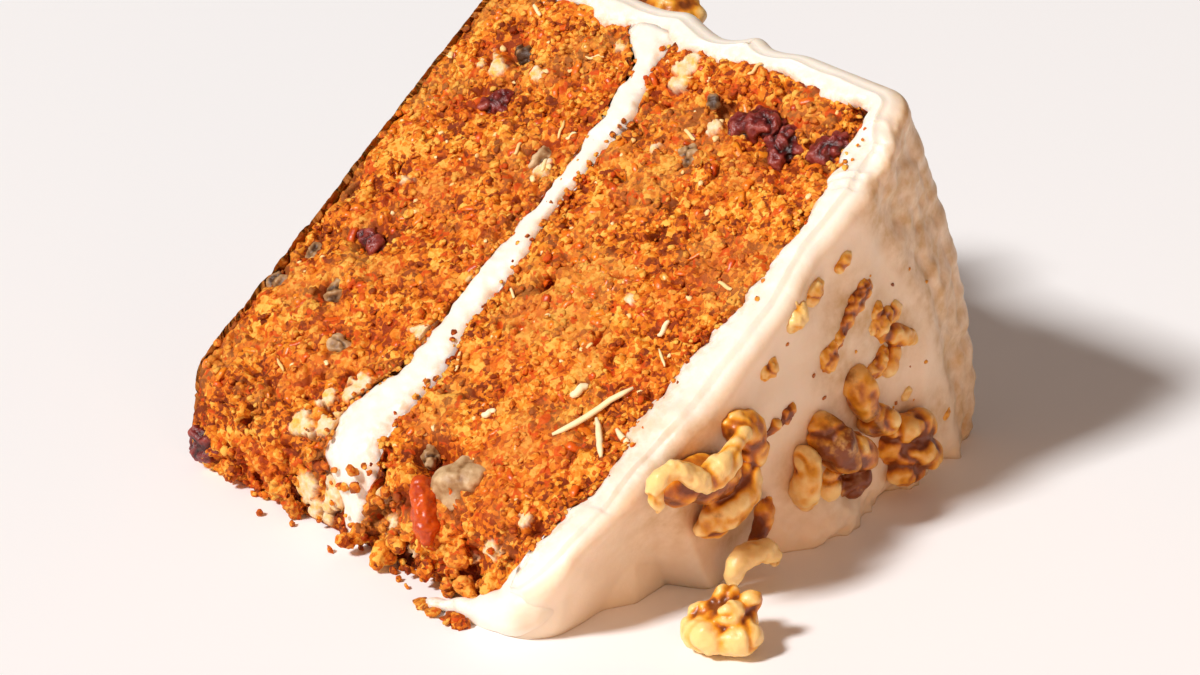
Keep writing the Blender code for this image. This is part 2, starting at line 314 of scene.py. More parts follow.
crumb = {
    "shade": (0.20, 0.026, 0.000),
    "body": (0.66, 0.140, 0.003),
    "light": (0.82, 0.270, 0.013),
    "pale": (0.94, 0.51, 0.085),
    "carrot": (0.64, 0.070, 0.001),
    "tan": (0.60, 0.26, 0.050),
    "cream": (0.93, 0.78, 0.56),
    "browned": (0.60, 0.19, 0.02),
    "crust": (0.36, 0.10, 0.012),
    "spacing": 0.27,  # of the mesh on the cut faces, mm
    "clumpHeight": 0.85,
    "grainHeight": 0.75,
    "cragDepth": 1.0,
    "poreDepth": 1.3,
    "underEdge": 2.4,  # rounding of the edge between the cut and the underside, mm
}


def crumbFinish():
    # colour climbs from shade to pale with the point's depth, which paints shade into the crumb's pits, and
    # with two sizes of grain and broad patches; dry, carrot, browned and creamy shares are mixed over it
    made = Finish("carrotCake", {"Roughness": 0.6, "Specular IOR Level": 0.22, "Subsurface Weight": 0.05,
                                 "Subsurface Radius": (1.0, 0.35, 0.12), "Subsurface Scale": 0.0015})
    sway = made.add("ShaderNodeTexNoise", None, {"Vector": made.places(), "Scale": 900.0}, "Color")
    warped = made.add("ShaderNodeVectorMath", {"operation": "MULTIPLY_ADD"},
                      {0: sway, 1: (0.0009, 0.0009, 0.0009), 2: made.places()})
    coarse = made.add("ShaderNodeTexVoronoi", None, {"Vector": warped, "Scale": 1000 / 1.5}, "Color")
    fine = made.add("ShaderNodeTexVoronoi", None, {"Vector": warped, "Scale": 1000 / 0.6}, "Color")
    patch = made.noise(6.0, 3.0, 0.6, offset=0.031)
    tone = made.value("depth") * 0.83 + coarse * 0.83 + fine * 0.87 + patch * 0.90 - 1.33
    stops = [(0.10, crumb["shade"]), (0.38, crumb["body"]), (0.62, crumb["light"]), (0.90, crumb["pale"])]
    colour = made.ramp(tone, stops)
    dry = made.step(made.noise(13.0, 3.0, 0.6, offset=0.23), 0.50, 0.62)
    colour = made.mix(dry * 0.38, colour, crumb["tan"])
    fleck = made.step(made.noise(2.0, 2.0, 0.5, offset=0.07, distortion=0.8), 0.60, 0.65)
    colour = made.mix(fleck * 0.85, colour, crumb["carrot"])
    reddish = made.step(made.noise(9.0, 2.0, 0.5, offset=0.11), 0.42, 0.68)
    colour = made.mix(reddish * 0.32, colour, crumb["carrot"])
    crustShare = made.step(made.noise(7.0, 4.0, 0.65, offset=0.4), 0.35, 0.65)
    crust = made.mix(crustShare, crumb["browned"], crumb["crust"])
    colour = made.mix(made.value("browned"), colour, crust)
    creamShade = made.step(made.noise(1.2, 3.0, 0.6, offset=0.3), 0.35, 0.7)
    creamColour = made.mix(creamShade, crumb["cream"], crumb["pale"])
    colour = made.mix(made.value("creamy") * 0.92, colour, creamColour)
    made.set("Base Color", colour)
    made.bumps(made.noise(0.4, 4.0, 0.7, offset=0.013) + fine * 0.6, 0.9, 0.2)
    return made.material


# pits and hollows of the cut faces: x, radius, half width and depth in mm
hollows = [
    (47.2, 63.5, 1.3, 4.4), (58.6, 77.8, 1.2, 2.6), (54.0, 101.6, 1.8, 2.6), (48.4, 31.4, 2.2, 2.4),
    (52.2, 30.8, 3.0, 3.2), (62.5, 100.4, 4.6, 1.6), (67.6, 97.6, 3.0, 2.2), (75.2, 101.0, 3.8, 1.4),
    (77.6, 108.6, 1.6, 2.4), (13.4, 98.2, 1.8, 3.0), (15.5, 88.9, 2.8, 2.6), (29.9, 83.4, 2.2, 2.0),
    (12.5, 58.8, 3.0, 2.2), (12.9, 48.3, 2.2, 2.6), (20.3, 41.2, 1.8, 2.4), (1.5, 47.0, 2.0, 2.0),
    (3.9, 53.4, 1.8, 2.0), (70.5, 44.5, 1.4, 1.4), (46.0, 84.0, 1.2, 1.8), (68.0, 72.0, 1.0, 1.6),
]


def crumbRelief(points, seed):
    # height in mm, worked out at places shifted by noise so that nothing is round: broad swells, clumps of
    # two sizes, crags along the lines where noise crosses zero, a few torn pores, and fine grain
    sway = np.stack([layeredNoise(points, 3.6, seed + 50 + 5 * k, 2) for k in range(3)], axis=-1)
    shifted = points + 1.1 * sway
    swell = 0.55 * softNoise(points, 9.0, seed) + 0.40 * softNoise(points, 4.2, seed + 1)
    large, largeDraw = cellDistance(shifted, 2.7, seed + 2)
    small, smallDraw = cellDistance(shifted, 1.15, seed + 10)
    rough = 0.55 + 0.75 * rise(softNoise(points, 12.0, seed + 44), -0.4, 0.5)
    crags = bump(softNoise(shifted, 4.6, seed + 21), 0.13)
    crags *= rise(softNoise(points, 7.0, seed + 22), -0.25, 0.35)
    poreDistance, poreDraw = cellDistance(shifted, 3.4, seed + 30)
    pores = (poreDraw < 0.22) * (1 - rise(poreDistance, 0.05, 0.40))
    tinyDistance, tinyDraw = cellDistance(shifted, 1.3, seed + 36)
    tinyPores = (tinyDraw < 0.35) * (1 - rise(tinyDistance, 0.05, 0.45))
    relief = crumb["clumpHeight"] * (0.5 - large) * (0.6 + 0.8 * largeDraw) * rough
    relief += crumb["grainHeight"] * (0.5 - small) * (0.5 + smallDraw) * rough
    relief += swell - crumb["cragDepth"] * crags - crumb["poreDepth"] * pores - 0.7 * tinyPores
    return relief + 0.16 * softNoise(points, 0.55, seed + 40)


# cream smeared on the crumb: x, y, z of the middle and its half width in mm
smears = [
    (*onCut(8.8, 95.0), 1.5), (*onCut(12.0, 93.4), 1.9), (*onCut(19.2, 95.6), 1.7),
    (*onCut(55.4, 97.1), 1.1), (*onCut(49.3, 90.9), 0.9), (*onCut(10.7, 69.7), 1.4),
    (*onCut(26.4, 32.6), 1.8), (*onCut(29.6, 36.0), 3.0), (*onCut(26.0, 26.5), 2.4),
    (*onCut(30.0, 29.0), 2.6), (*onCut(29.6, 104.4), 1.6), (*onCut(32.6, 80.0), 1.4),
    (*onCut(72.0, 28.4), 1.6), (*onCut(43.6, 105.6), 2.6), (*onCut(44.4, 102.4), 1.8),
    (*onCut(57.9, 19.0), 1.2), (*onCut(33.6, 48.0), 1.6), (*onCut(63.0, 66.0), 0.8),
    (*onCut(36.2, 60.0), 1.2), (27.5, 20.8, 5.0, 2.6), (31.0, 20.8, 2.2, 3.2), (34.5, 20.8, 7.0, 3.6),
    (36.0, 20.8, 11.0, 2.6), (46.5, 20.8, 6.0, 1.9), (50.5, 20.8, 3.0, 1.3), (44.4, 20.8, 9.6, 1.4),
    (62.0, 20.8, 7.4, 1.0), (68.0, 20.8, 10.0, 1.2),
]


def creamShare(points):
    # 1 inside a smear, 0 outside, its border pushed in and out by noise
    share = 0.0
    ragged = 1.1 * layeredNoise(points, 2.2, 95, 3)
    for x, y, z, width in smears:
        distance = np.linalg.norm(points - (x, y, z), axis=-1)
        share = np.maximum(share, 1 - rise(distance + ragged, width * 0.75, width * 0.75 + 0.5))
    return share


def surfaceRelief(points, onFace, seed):
    # the relief with the hollows dug and the proud clumps held back
    relief = crumbRelief(points, seed)
    for x, radius, width, depth in hollows:
        distance = np.linalg.norm(points - onCut(x, radius), axis=-1)
        relief -= depth * bump(distance, width) * onFace
    relief = np.where(relief > 0, relief * 0.85, relief)
    # the torn tip is rougher, with broad chunks
    torn = 1 - rise(points[..., 1], cake["bluntTip"] + 1, cake["bluntTip"] + 7)
    return relief * (1 + 0.9 * torn) + 1.3 * torn * layeredNoise(points, 6.5, 91, 2)


def sliceSection(radius):
    # the slice's outline in y and z, anticlockwise from the tip's foot, and each point's share of cut or torn
    # face; the lying face and the rim are coarse, the cut and torn faces fine
    angle, tip, step = cake["wedgeAngle"], cake["bluntTip"], crumb["spacing"]
    soften = 4.5
    top = np.array([tip, tip * math.tan(angle)])
    along = np.array([math.cos(angle), math.sin(angle)])
    lying = np.column_stack([np.linspace(tip + 1.2, radius, 26), np.zeros(26)])
    turn = np.linspace(0, angle, 26)[1:-1]
    rim = radius * np.column_stack([np.cos(turn), np.sin(turn)])
    cutStart, cutEnd = radius, tip / math.cos(angle) + soften
    reach = np.linspace(cutStart, cutEnd, round((cutStart - cutEnd) / step))
    cut = reach[:, None] * along
    bend = np.linspace(0, 1, 26)[1:-1, None]
    tipTop = top - np.array([0, soften])
    softEdge = cut[-1] * (1 - bend) ** 2 + top * 2 * bend * (1 - bend) + tipTop * bend**2
    drop = np.linspace(tipTop[1], 1.2, round((tipTop[1] - 1.2) / step))
    torn = np.column_stack([np.full(len(drop), tip), drop])
    heel = np.array([[tip + 0.35, 0.35]])
    section = np.vstack([lying, rim, cut, softEdge, torn, heel])
    bareCount = len(cut) + len(softEdge) + len(torn)
    bare = np.concatenate([np.zeros(len(lying) + len(rim)), np.ones(bareCount), [0]])
    # fades the relief out towards the lying face and the coat
    height = section[:, 1] / np.maximum(section[:, 0] * math.tan(angle), 1)
    bare *= np.where(section[:, 0] < tip + 0.1, rise(section[:, 1], -1, 0.8), rise(section[:, 1], 0.3, 2.5))
    bare *= rise(height, 0, 0.05)
    return section, bare


# the borders seen on the cut face, as x at each distance from the cake's axis
fillingLow = [
    (28, 31.2), (33.6, 30.7), (41.2, 34.7), (47.9, 34.4), (59.8, 35.3), (72.3, 36.6), (84, 36.6),
    (91.5, 36.3), (102.7, 34.8), (108.1, 29.5),
]
fillingHigh = [
    (19.4, 42.7), (30.4, 40.7), (42.6, 42.1), (51.2, 40.3), (63.4, 40.9), (74.2, 39.6), (81.5, 40.1),
    (95.5, 41.6), (103.6, 38.3), (108.8, 38.5),
]
coatInner = [
    (15.9, 72.9), (19.8, 75.0), (32.5, 77.4), (36.9, 79.4), (47.7, 78.3), (58.7, 78.5), (66.6, 78.4),
    (79.2, 80.9), (93, 80.3), (99.4, 80.6), (110.8, 77.5),
]


def borderAt(border, radius):
    # straight lines between the listed places
    table = np.array(border, float)
    return np.interp(radius, table[:, 0], table[:, 1])


def fillingEdge(base, side, section):
    # where a face of the filling lies: along its seen border on the cut, nearly flat inside the cake
    radius = np.hypot(section[:, 0], section[:, 1])
    seen = rise(section[:, 1] / np.maximum(section[:, 0] * math.tan(cake["wedgeAngle"]), 1), 0.3, 0.95)
    border = borderAt(fillingLow if side < 0 else fillingHigh, radius)
    flat = base + 0.4 * np.sin(0.15 * radius + 1.0)
    return flat * (1 - seen) + border * seen


def coatEdge(section):
    # where the crumb ends under the frosting, at each point's distance from the axis
    return borderAt(coatInner, np.hypot(section[:, 0], section[:, 1]))


def cakeLayer(name, lowEdge, highEdge, seed, bareLow, material):
    # rings of the slice's outline stacked along x between two wavy faces; the relief is pushed out along the
    # normals
    section, cutShare = sliceSection(cake["cakeRadius"])
    middle = section.mean(axis=0)
    low, high = lowEdge(section), highEdge(section)
    rowCount = round((high.mean() - low.mean()) / crumb["spacing"])
    levels = np.linspace(0, 1, rowCount)[:, None]
    grid = np.empty((rowCount, len(section), 3))
    grid[..., 0] = low * (1 - levels) + high * levels
    grid[..., 1:] = section
    share = np.broadcast_to(cutShare, grid.shape[:2])

    def capRings(face, shares):
        # the outline shrunk towards its middle, lying on the end face
        rings = np.empty((len(shares), len(section), 3))
        rings[..., 1:] = middle + (section - middle) * shares[:, None, None]
        rings[..., 0] = face
        return rings

    lowShares = np.linspace(0.05, 0.955, 60 if bareLow else 4)
    lowCap, highCap = capRings(low, lowShares), capRings(high, np.array([0.98, 0.7, 0.3]))
    grid = np.concatenate([lowCap, grid, highCap])
    lowShare = np.full(lowCap.shape[:2], 0.35 if bareLow else 0.0)
    share = np.concatenate([lowShare, share, np.zeros(highCap.shape[:2])])
    browned = (1 - rise(grid[..., 0], 0.2, 1.0)) * (0.9 if bareLow else 0)
    normals = gridNormals(grid)
    outward = np.einsum("ijk,ijk->ij", normals, grid - np.array([grid[..., 0].mean(), *middle])).mean()
    normals *= np.sign(outward)
    if bareLow:
        # the edge above the underside is rounded: a quarter circle, as an inset across the section
        near = np.clip(1 - grid[..., 0] / crumb["underEdge"], 0, 1)
        onSkin = (np.arange(len(grid)) >= len(lowCap))[:, None]
        inset = crumb["underEdge"] * (1 - np.sqrt(1 - near**2 * 0.98)) * onSkin
        sideways = normals * np.array([0, 1, 1])
        sideways /= np.maximum(np.linalg.norm(sideways, axis=-1, keepdims=True), 0.2)
        grid -= sideways * inset[..., None]
    relief = surfaceRelief(grid, cutShare[None, :] > 0.5, seed)
    grid = grid + normals * (relief * share)[..., None]
    grid[..., 2] = np.maximum(grid[..., 2], 0)
    grid[..., 0] = np.maximum(grid[..., 0], -0.6)
    # painted shade: the tone is darker in the relief's pits and lighter on its clumps, and darker at the torn
    # tip
    tornShare = 1 - rise(grid[..., 1], cake["bluntTip"] + 1, cake["bluntTip"] + 9)
    depth = np.clip(0.62 - 0.21 * tornShare + relief * 0.30, 0, 1)
    creamy = creamShare(grid) * (cutShare > 0.5)
    grid += normals * (creamy * (0.35 - 0.75 * relief) * share)[..., None]
    points, faces, values = closedSkin(grid, {"depth": depth, "creamy": creamy, "browned": browned})
    return makeMesh(name, points, faces, material, values)


def finishPiece(piece, node):
    # hangs a piece on the part, in place of its node when it has one
    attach(piece, "root")
    if node:
        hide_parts(node)
    return piece


crumbMaterial = crumbFinish()
lowerLayer = cakeLayer("cakeLayerLower", lambda s: np.zeros(len(s)),
                       lambda s: fillingEdge(cake["fillingFrom"], -1, s) - 0.3, 100, True, crumbMaterial)
finishPiece(lowerLayer, "cake_layer_lower")
upperLayer = cakeLayer("cakeLayerUpper", lambda s: fillingEdge(cake["fillingTo"], 1, s) + 0.3,
                       coatEdge, 200, False, crumbMaterial)
finishPiece(upperLayer, "cake_layer_upper")
print("layers:", len(lowerLayer.data.polygons), len(upperLayer.data.polygons), "faces")


frosting = {
    "colour": (0.93, 0.85, 0.75),
    # the painted warm shade of the iced faces
    "shadeBeige": (0.92, 0.73, 0.55),
    # brown of the stains round the nuts, also used as painted shade on the shoulder
    "stain": (0.55, 0.30, 0.08),
    "crumbed": (0.86, 0.36, 0.09),
    "columns": 118,  # across the iced surfaces, from the lying face to the upper cut
    "bandColumns": 18,  # across the cut edge
    "edgeRound": 2.7,
    "tipRound": 5.0,
    "cornerRound": 4.6,
    "rowStep": 0.45,
    "shoulderDrop": 7.0,
    "leastThickness": 1.8,  # of the iced top over the crumb
    "rimBite": 0.5,  # how far the coat reaches into the crumb at the rim
    "topBite": 0.4,  # and under the top
}


def frostingFinish():
    # cream with painted warm shade on the iced faces, clouded, smeared with crumb, stained round the nuts
    made = Finish("frosting", {"Roughness": 0.42, "Specular IOR Level": 0.4, "Subsurface Weight": 0.35,
                               "Subsurface Radius": (1.0, 0.62, 0.38), "Subsurface Scale": 0.004})
    cloud = made.noise(14.0, 3.0, 0.5)
    # painted shade: the iced faces take a warm beige that stands in for the shade they lie in
    colour = made.mix(made.value("iced"), frosting["colour"], frosting["shadeBeige"])
    colour = made.mix(made.step(cloud, 0.35, 0.75) * 0.30, colour, tuple(c * 0.9 for c in frosting["shadeBeige"]))
    smeared = made.value("crumbed") * made.step(made.noise(1.3, 3.0, 0.6, offset=0.09), 0.42, 0.62)
    colour = made.mix(smeared * 0.75, colour, frosting["crumbed"])
    # stains round the nuts and painted shade on the shoulder share this mask and its brown
    stain = made.value("stain") * made.step(made.noise(3.0, 3.0, 0.6, offset=0.05), 0.2, 0.75)
    colour = made.mix(stain, colour, frosting["stain"])
    made.set("Base Color", colour)
    made.bumps(made.noise(2.2, 3.0, 0.5) + made.noise(0.7, 2.0, 0.5, offset=0.04) * 0.35, 0.35, 0.25)
    return made.material


def undercut(y, z):
    # near the tip the face leans in towards the plate: a flat facet that ends at a slanting fold
    ridge = 46.0 - 0.36 * z
    leaning = np.clip((19.0 - z) / 19.0, 0, 1) ** 1.15
    return -6.0 * leaning * (1 - rise(y, ridge - 3.2, ridge + 2.2)) + 0.9 * bump(y - ridge, 2.6) * leaning**0.5


def topRelief(y, z, radius, angle):
    # how far the iced top stands out from its plane, mm: a squeezed foot, a swell along the cut, the
    # undercut, a shoulder that falls towards the rim, broad spatula waves and shallow ridges round the
    # shoulder
    share = angle / cake["wedgeAngle"]
    places = np.stack([np.zeros_like(y), y, z], axis=-1)
    relief = 3.4 * bump(y - 71.5, 8.5) * bump(z - 2, 11) + 1.0 * bump(y - 90, 9) * bump(z, 9)
    relief += 2.0 * bump(radius - 62, 15) * bump(share - 1, 0.3)
    relief += 0.5 * rise(share, 0.80, 1.0) + undercut(y, z)
    relief -= 1.5 * bump(y - 56.5, 4.5) * bump(z, 15)
    relief += 1.5 * layeredNoise(places, 4.2, 67, 3) * bump(z, 5) * rise(y, 54, 62)
    shoulder = 104.5 - 8.5 * share
    past = np.maximum(0, (radius - shoulder) / (cake["coatRadius"] - shoulder))
    relief -= past**1.15 * frosting["shoulderDrop"] * (0.25 + 0.75 * share)
    relief -= 0.9 * bump(radius - shoulder - 2.5, 2.2) * (1 - 0.7 * share)
    ridges = np.sin((radius + 1.6 * softNoise(places, 16, 61)) * 1.9) * softNoise(places, 11, 62)
    rough = 0.5 * layeredNoise(places, 3.0, 66, 3)
    relief += (0.38 * ridges + rough) * rise(radius, shoulder - 1, shoulder + 3)
    relief += 0.95 * softNoise(places, 19, 63) + 0.75 * softNoise(places, 8.0, 64)
    return relief + 0.22 * softNoise(places, 3.4, 65)


def rimRelief(x, angle):
    # how far the rim stands out from its cylinder, mm: soft folds across it and lumps near the upper cut
    share = angle / cake["wedgeAngle"]
    places = np.stack([x, angle * cake["coatRadius"], np.zeros_like(x)], axis=-1)
    swells = 1.1 * bump(x - 36.5, 3.2) + 1.2 * bump(x - 51.2, 2.2)
    swells += 0.6 * bump(x - 60.5, 3.0) - 0.9 * bump(x - 45, 3.6)
    return swells * bump(share - 1, 0.22) + 0.7 * softNoise(places, 13, 71) + 0.35 * softNoise(places, 5, 72)


def outerCoat(angle, counts):
    # the coat's outer skin: rows 0..1 over the top, then a quarter turn, then down the rim to the cake's
    # underside
    topCount, cornerCount, rimCount = counts
    corner = frosting["cornerRound"]
    edge = cake["coatRadius"] - corner
    radius = np.empty((sum(counts), len(angle)))
    x = np.empty_like(radius)
    share = np.linspace(0, 1, topCount)[:, None]
    tip = cake["coatTip"] / np.cos(angle)
    radius[:topCount] = tip + (edge - tip) * share
    y, z = radius[:topCount] * np.cos(angle), radius[:topCount] * np.sin(angle)
    iced = cake["height"] + topRelief(y, z, radius[:topCount], np.broadcast_to(angle, y.shape))
    crumbTop = borderAt(coatInner, radius[:topCount])
    x[:topCount] = np.maximum(iced, crumbTop + frosting["leastThickness"])
    turn = np.linspace(0, math.pi / 2, cornerCount + 1)[1:, None]
    edgeX = x[topCount - 1]
    turning = np.s_[topCount:topCount + cornerCount]
    x[turning] = edgeX - corner * (1 - np.cos(turn))
    radius[turning] = edge + corner * np.sin(turn)
    down = np.linspace(0, 1, rimCount + 1)[1:, None]
    x[topCount + cornerCount:] = (edgeX - corner) * (1 - down) - 0.1
    radius[topCount + cornerCount:] = cake["coatRadius"]
    relief = rimRelief(x, np.broadcast_to(angle, x.shape))
    rimShare = np.concatenate([np.zeros(topCount), np.linspace(0, 1, cornerCount), np.ones(rimCount)])[:, None]
    radius += relief * rimShare
    return x, radius


def innerCoat(angle, rows, counts):
    # the coat's inner skin, just inside the crumb: under the top, then down inside the rim, over the same
    # rows
    corner = cake["cakeRadius"] - frosting["rimBite"]
    tip = cake["coatTip"] / np.cos(angle)
    firstRows = counts[0] + counts[1] // 2
    share = np.linspace(0, 1, firstRows)[:, None]
    radius = np.empty((rows, len(angle)))
    radius[:firstRows] = tip + (corner - tip) * share
    radius[firstRows:] = corner
    section = np.stack([radius * np.cos(angle), radius * np.sin(angle)], axis=-1)
    x = coatEdge(section.reshape(-1, 2)).reshape(radius.shape) - frosting["topBite"]
    down = np.linspace(0, 1, rows - firstRows + 1)[1:, None]
    x[firstRows:] = x[firstRows - 1] * (1 - down) - 0.1
    return x, radius


def frostingCoat():
    # one closed ring per row, from the tip over the top and down the rim: outer skin, cut edge, inner skin
    # and base
    counts = (round(93 / frosting["rowStep"]), 16, round(81 / frosting["rowStep"]))
    rows = sum(counts)
    wedge = cake["wedgeAngle"]
    even = np.linspace(0, 1, frosting["columns"])
    angle = wedge * (1 - (1 - even) ** 1.25)
    x, radius = outerCoat(angle, counts)
    fromCut = radius * (wedge - angle)
    edge = frosting["edgeRound"]
    pulled = np.clip((edge - fromCut) / edge, 0, 1)
    inset = edge * (1 - np.sqrt(1 - pulled**2 * 0.999))
    outer = np.stack([x, radius * np.cos(angle), radius * np.sin(angle)], axis=-1)
    steps = np.gradient(outer, axis=0), np.gradient(outer, axis=1)
    normals = np.cross(*steps)
    normals /= np.maximum(np.linalg.norm(normals, axis=-1, keepdims=True), 1e-9)
    outward = np.sign((normals * np.array([1.0, 0.5, 0.2])).sum(axis=-1).mean())
    outer -= normals * outward * inset[..., None]
    # the tip is rounded off: both the iced face and the cut edge curve in towards it
    toTip = np.clip(1 - (outer[:, :1, 1] - cake["coatTip"]) / frosting["tipRound"], 0, 1)
    tipInset = 1 - np.sqrt(1 - toTip**2 * 0.98)
    outer[..., 0] -= 5.2 * tipInset

    innerAngle = wedge * np.array([0.97, 0.8, 0.6, 0.4, 0.2, 0.0])
    innerX, innerRadius = innerCoat(innerAngle, rows, counts)
    inner = np.stack([innerX, innerRadius * np.cos(innerAngle), innerRadius * np.sin(innerAngle)], axis=-1)
    cutX, cutRadius = innerCoat(np.array([wedge]), rows, counts)
    cutInner = onCut(cutX[:, 0], cutRadius[:, 0])

    # the cut edge: from the outer skin to a ragged inner border that laps over the crumb
    across = np.linspace(0, 1, frosting["bandColumns"] + 2)[1:-1]
    direction = cutInner - outer[:, -1]
    direction /= np.linalg.norm(direction, axis=-1, keepdims=True)
    lap = 1.3 + 1.7 * layeredNoise(cutInner, 6.0, 81, 3) + 0.7 * softNoise(cutInner, 1.5, 84)
    border = cutInner + direction * lap[:, None]
    band = outer[:, -1][:, None] * (1 - across[:, None]) + border[:, None] * across[:, None]
    lift = 0.75 * np.sqrt(np.clip(1 - across**6, 0, 1)) * (1 - 0.25 * across) - 1.9 * across**5
    drag = 0.42 * layeredNoise(band * np.array([1, 0.45, 0.45]), 5.0, 85, 3) + 0.12 * softNoise(band, 1.3, 89)
    ends = np.clip(np.minimum(across, 1 - across) * 6, 0, 1)
    band = band + cutNormal * (lift + drag * ends - 0.15)[..., None]

    base = inner[:, -1][:, None] + (outer[:, 0] - inner[:, -1])[:, None] * np.linspace(0, 1, 7)[1:-1][:, None]
    grid = np.concatenate([outer, band, inner, base], axis=1)
    grid[..., 2] = np.maximum(grid[..., 2] * (1 - 0.34 * tipInset), 0)
    # iced marks the outer skin, which the finish paints with warm shade; it fades out before the cut edge
    iced = np.zeros(grid.shape[:2])
    iced[:, :outer.shape[1]] = 1 - rise(even, 0.93, 1.0)
    crumbed = np.zeros(grid.shape[:2])
    crumbed[:, outer.shape[1]:outer.shape[1] + len(across)] = across**2
    return grid, iced, crumbed


def frostingPiece(material):
    # stains are bell curves round the nuts, and painted shade darkens the shoulder with distance from the axis
    grid, iced, crumbed = frostingCoat()
    stain = np.zeros(grid.shape[:2])
    for place, size in stains:
        distance = np.linalg.norm((grid - place) * np.array([0.5, 1, 1]), axis=-1)
        stain = np.maximum(stain, 0.95 * bump(distance, size))
    outward = np.hypot(grid[..., 1], grid[..., 2])
    # painted shade on the shoulder, carried in the same mask as the stains
    shoulder = rise(outward + 0.25 * grid[..., 2], 103, 108) * rise(grid[..., 0], 66, 80)
    stain = np.maximum(stain, 0.9 * shoulder * iced)
    values = {"stain": stain, "iced": iced, "crumbed": crumbed}
    made = makeMesh("frostingCoat", grid.reshape(-1, 3), gridFaces(*grid.shape[:2]), material, values)
    fillEnds(made)
    return made


stains = [
    (np.array([86, 43, 19]), 12.0), (np.array([86, 66, 11]), 6.0), (np.array([86, 73, 12]), 8.5),
    (np.array([86, 80, 19]), 6.5), (np.array([86, 91, 8]), 8.0), (np.array([86, 88, 27]), 7.0),
    (np.array([86, 55, 8]), 6.0), (np.array([86, 77, 35]), 7.0), (np.array([86, 68, 40]), 4.0),
    (np.array([86, 81, 32]), 6.0), (np.array([86, 74, 27]), 5.0), (np.array([86, 99, 10]), 5.0),
]
frostingMaterial = frostingFinish()
coat = finishPiece(frostingPiece(frostingMaterial), "frosting")
print("frosting:", len(coat.data.polygons), "faces")


def fillingBand(material):
    # rings across the filling: its crown stands a little proud of the crumb and its two borders dive under it
    section, cutShare = sliceSection(cake["cakeRadius"])
    middle = section.mean(axis=0)
    low = fillingEdge(cake["fillingFrom"], -1, section)
    high = fillingEdge(cake["fillingTo"], 1, section)
    places = np.column_stack([np.full(len(section), 38.0), section])
    low = low - (0.5 + 1.1 * layeredNoise(places, 4.0, 301, 3)) * cutShare
    high = high + (0.4 + 0.8 * layeredNoise(places, 4.0, 305, 3)) * cutShare
    levels = np.linspace(0, 1, 40)[:, None]
    grid = np.empty((40, len(section), 3))
    grid[..., 0] = low * (1 - levels) + high * levels
    grid[..., 1:] = section
    across = 2 * levels - 1
    crown = 0.55 - 2.0 * np.abs(across) ** 4
    wave = 0.42 * layeredNoise(grid * np.array([1, 0.5, 0.5]), 5.0, 310, 3) + 0.12 * softNoise(grid, 1.2, 314)
    outwards = np.roll(section, 1, axis=0) - np.roll(section, -1, axis=0)
    outwards = np.column_stack([-outwards[:, 1], outwards[:, 0]])
    outwards /= np.linalg.norm(outwards, axis=1, keepdims=True)
    outwards *= np.sign(((section - middle) * outwards).sum())
    grid[..., 1:] += outwards * ((crown + wave) * cutShare)[..., None]
    caps = []
    for face in (low, high):
        rings = np.empty((3, len(section), 3))
        for row, share in enumerate((0.94, 0.6, 0.2)):
            rings[row, :, 1:] = middle + (section - middle) * share
            rings[row, :, 0] = np.clip(face, cake["fillingFrom"], cake["fillingTo"])
        caps.append(rings)
    grid = np.concatenate([caps[0][::-1], grid, caps[1]])
    grid[..., 2] = np.maximum(grid[..., 2], 0)
    nearBorder = np.repeat(np.abs(across) ** 2, len(section), axis=1)
    crumbed = np.concatenate([np.zeros(caps[0].shape[:2]), nearBorder, np.zeros(caps[1].shape[:2])])
    points, faces, values = closedSkin(grid, {"stain": np.zeros(grid.shape[:2]), "crumbed": crumbed})
    return makeMesh("fillingBand", points, faces, material, values)


filling = finishPiece(fillingBand(frostingMaterial), "filling")
print("filling:", len(filling.data.polygons), "faces")


walnut = {
    "pale": (0.94, 0.63, 0.24),
    "flesh": (0.83, 0.36, 0.025),
    "deepFlesh": (0.53, 0.145, 0.006),
    "skin": (0.20, 0.044, 0.004),
    "voxel": 0.30,  # of the skin that joins the lobes, mm
    "grooveDepth": 0.70,
}


def walnutFinish():
    # colour climbs from skin to pale with the point's depth and noise, with kept skin mixed over it
    made = Finish("walnut", {"Roughness": 0.34, "Specular IOR Level": 0.5, "Subsurface Weight": 0.15,
                             "Subsurface Radius": (1.0, 0.5, 0.15), "Subsurface Scale": 0.0016})
    # the depth paints shade into the valleys, over the kernel's own darker grooves
    tone = made.value("depth") * 1.0 + made.noise(2.4, 4.0, 0.6) * 0.55 - 0.28
    stops = [(0.08, walnut["skin"]), (0.28, walnut["deepFlesh"]), (0.50, walnut["flesh"]),
             (0.82, walnut["pale"])]
    colour = made.ramp(tone, stops)
    skin = made.value("skin") * 1.5 + made.noise(2.4, 3.0, 0.6, offset=0.03) * 1.1 - 1.15
    colour = made.mix(made.step(skin, 0.1, 0.45), colour, walnut["skin"])
    made.set("Base Color", colour)
    made.bumps(made.noise(0.7, 4.0, 0.65), 0.5, 0.2)
    return made.material


def raisinFinish():
    # dark red that lightens with depth (painted shade in the creases); whitish patches of bloom and painted
    # highlight
    made = Finish("raisin", {"Roughness": 0.33, "Specular IOR Level": 0.5})
    tone = made.value("depth") * 0.8 + made.noise(1.2, 3.0, 0.6) * 0.4
    stops = [(0.25, (0.020, 0.002, 0.002)), (0.6, (0.16, 0.010, 0.008)), (0.95, (0.36, 0.06, 0.04))]
    colour = made.ramp(tone, stops)
    bloomAndHighlight = made.step(made.noise(0.9, 4.0, 0.7, offset=0.2), 0.56, 0.72)
    made.set("Base Color", made.mix(bloomAndHighlight * 0.24, colour, (0.58, 0.28, 0.22)))
    made.bumps(made.noise(0.6, 3.0, 0.6), 0.9, 0.3)
    return made.material


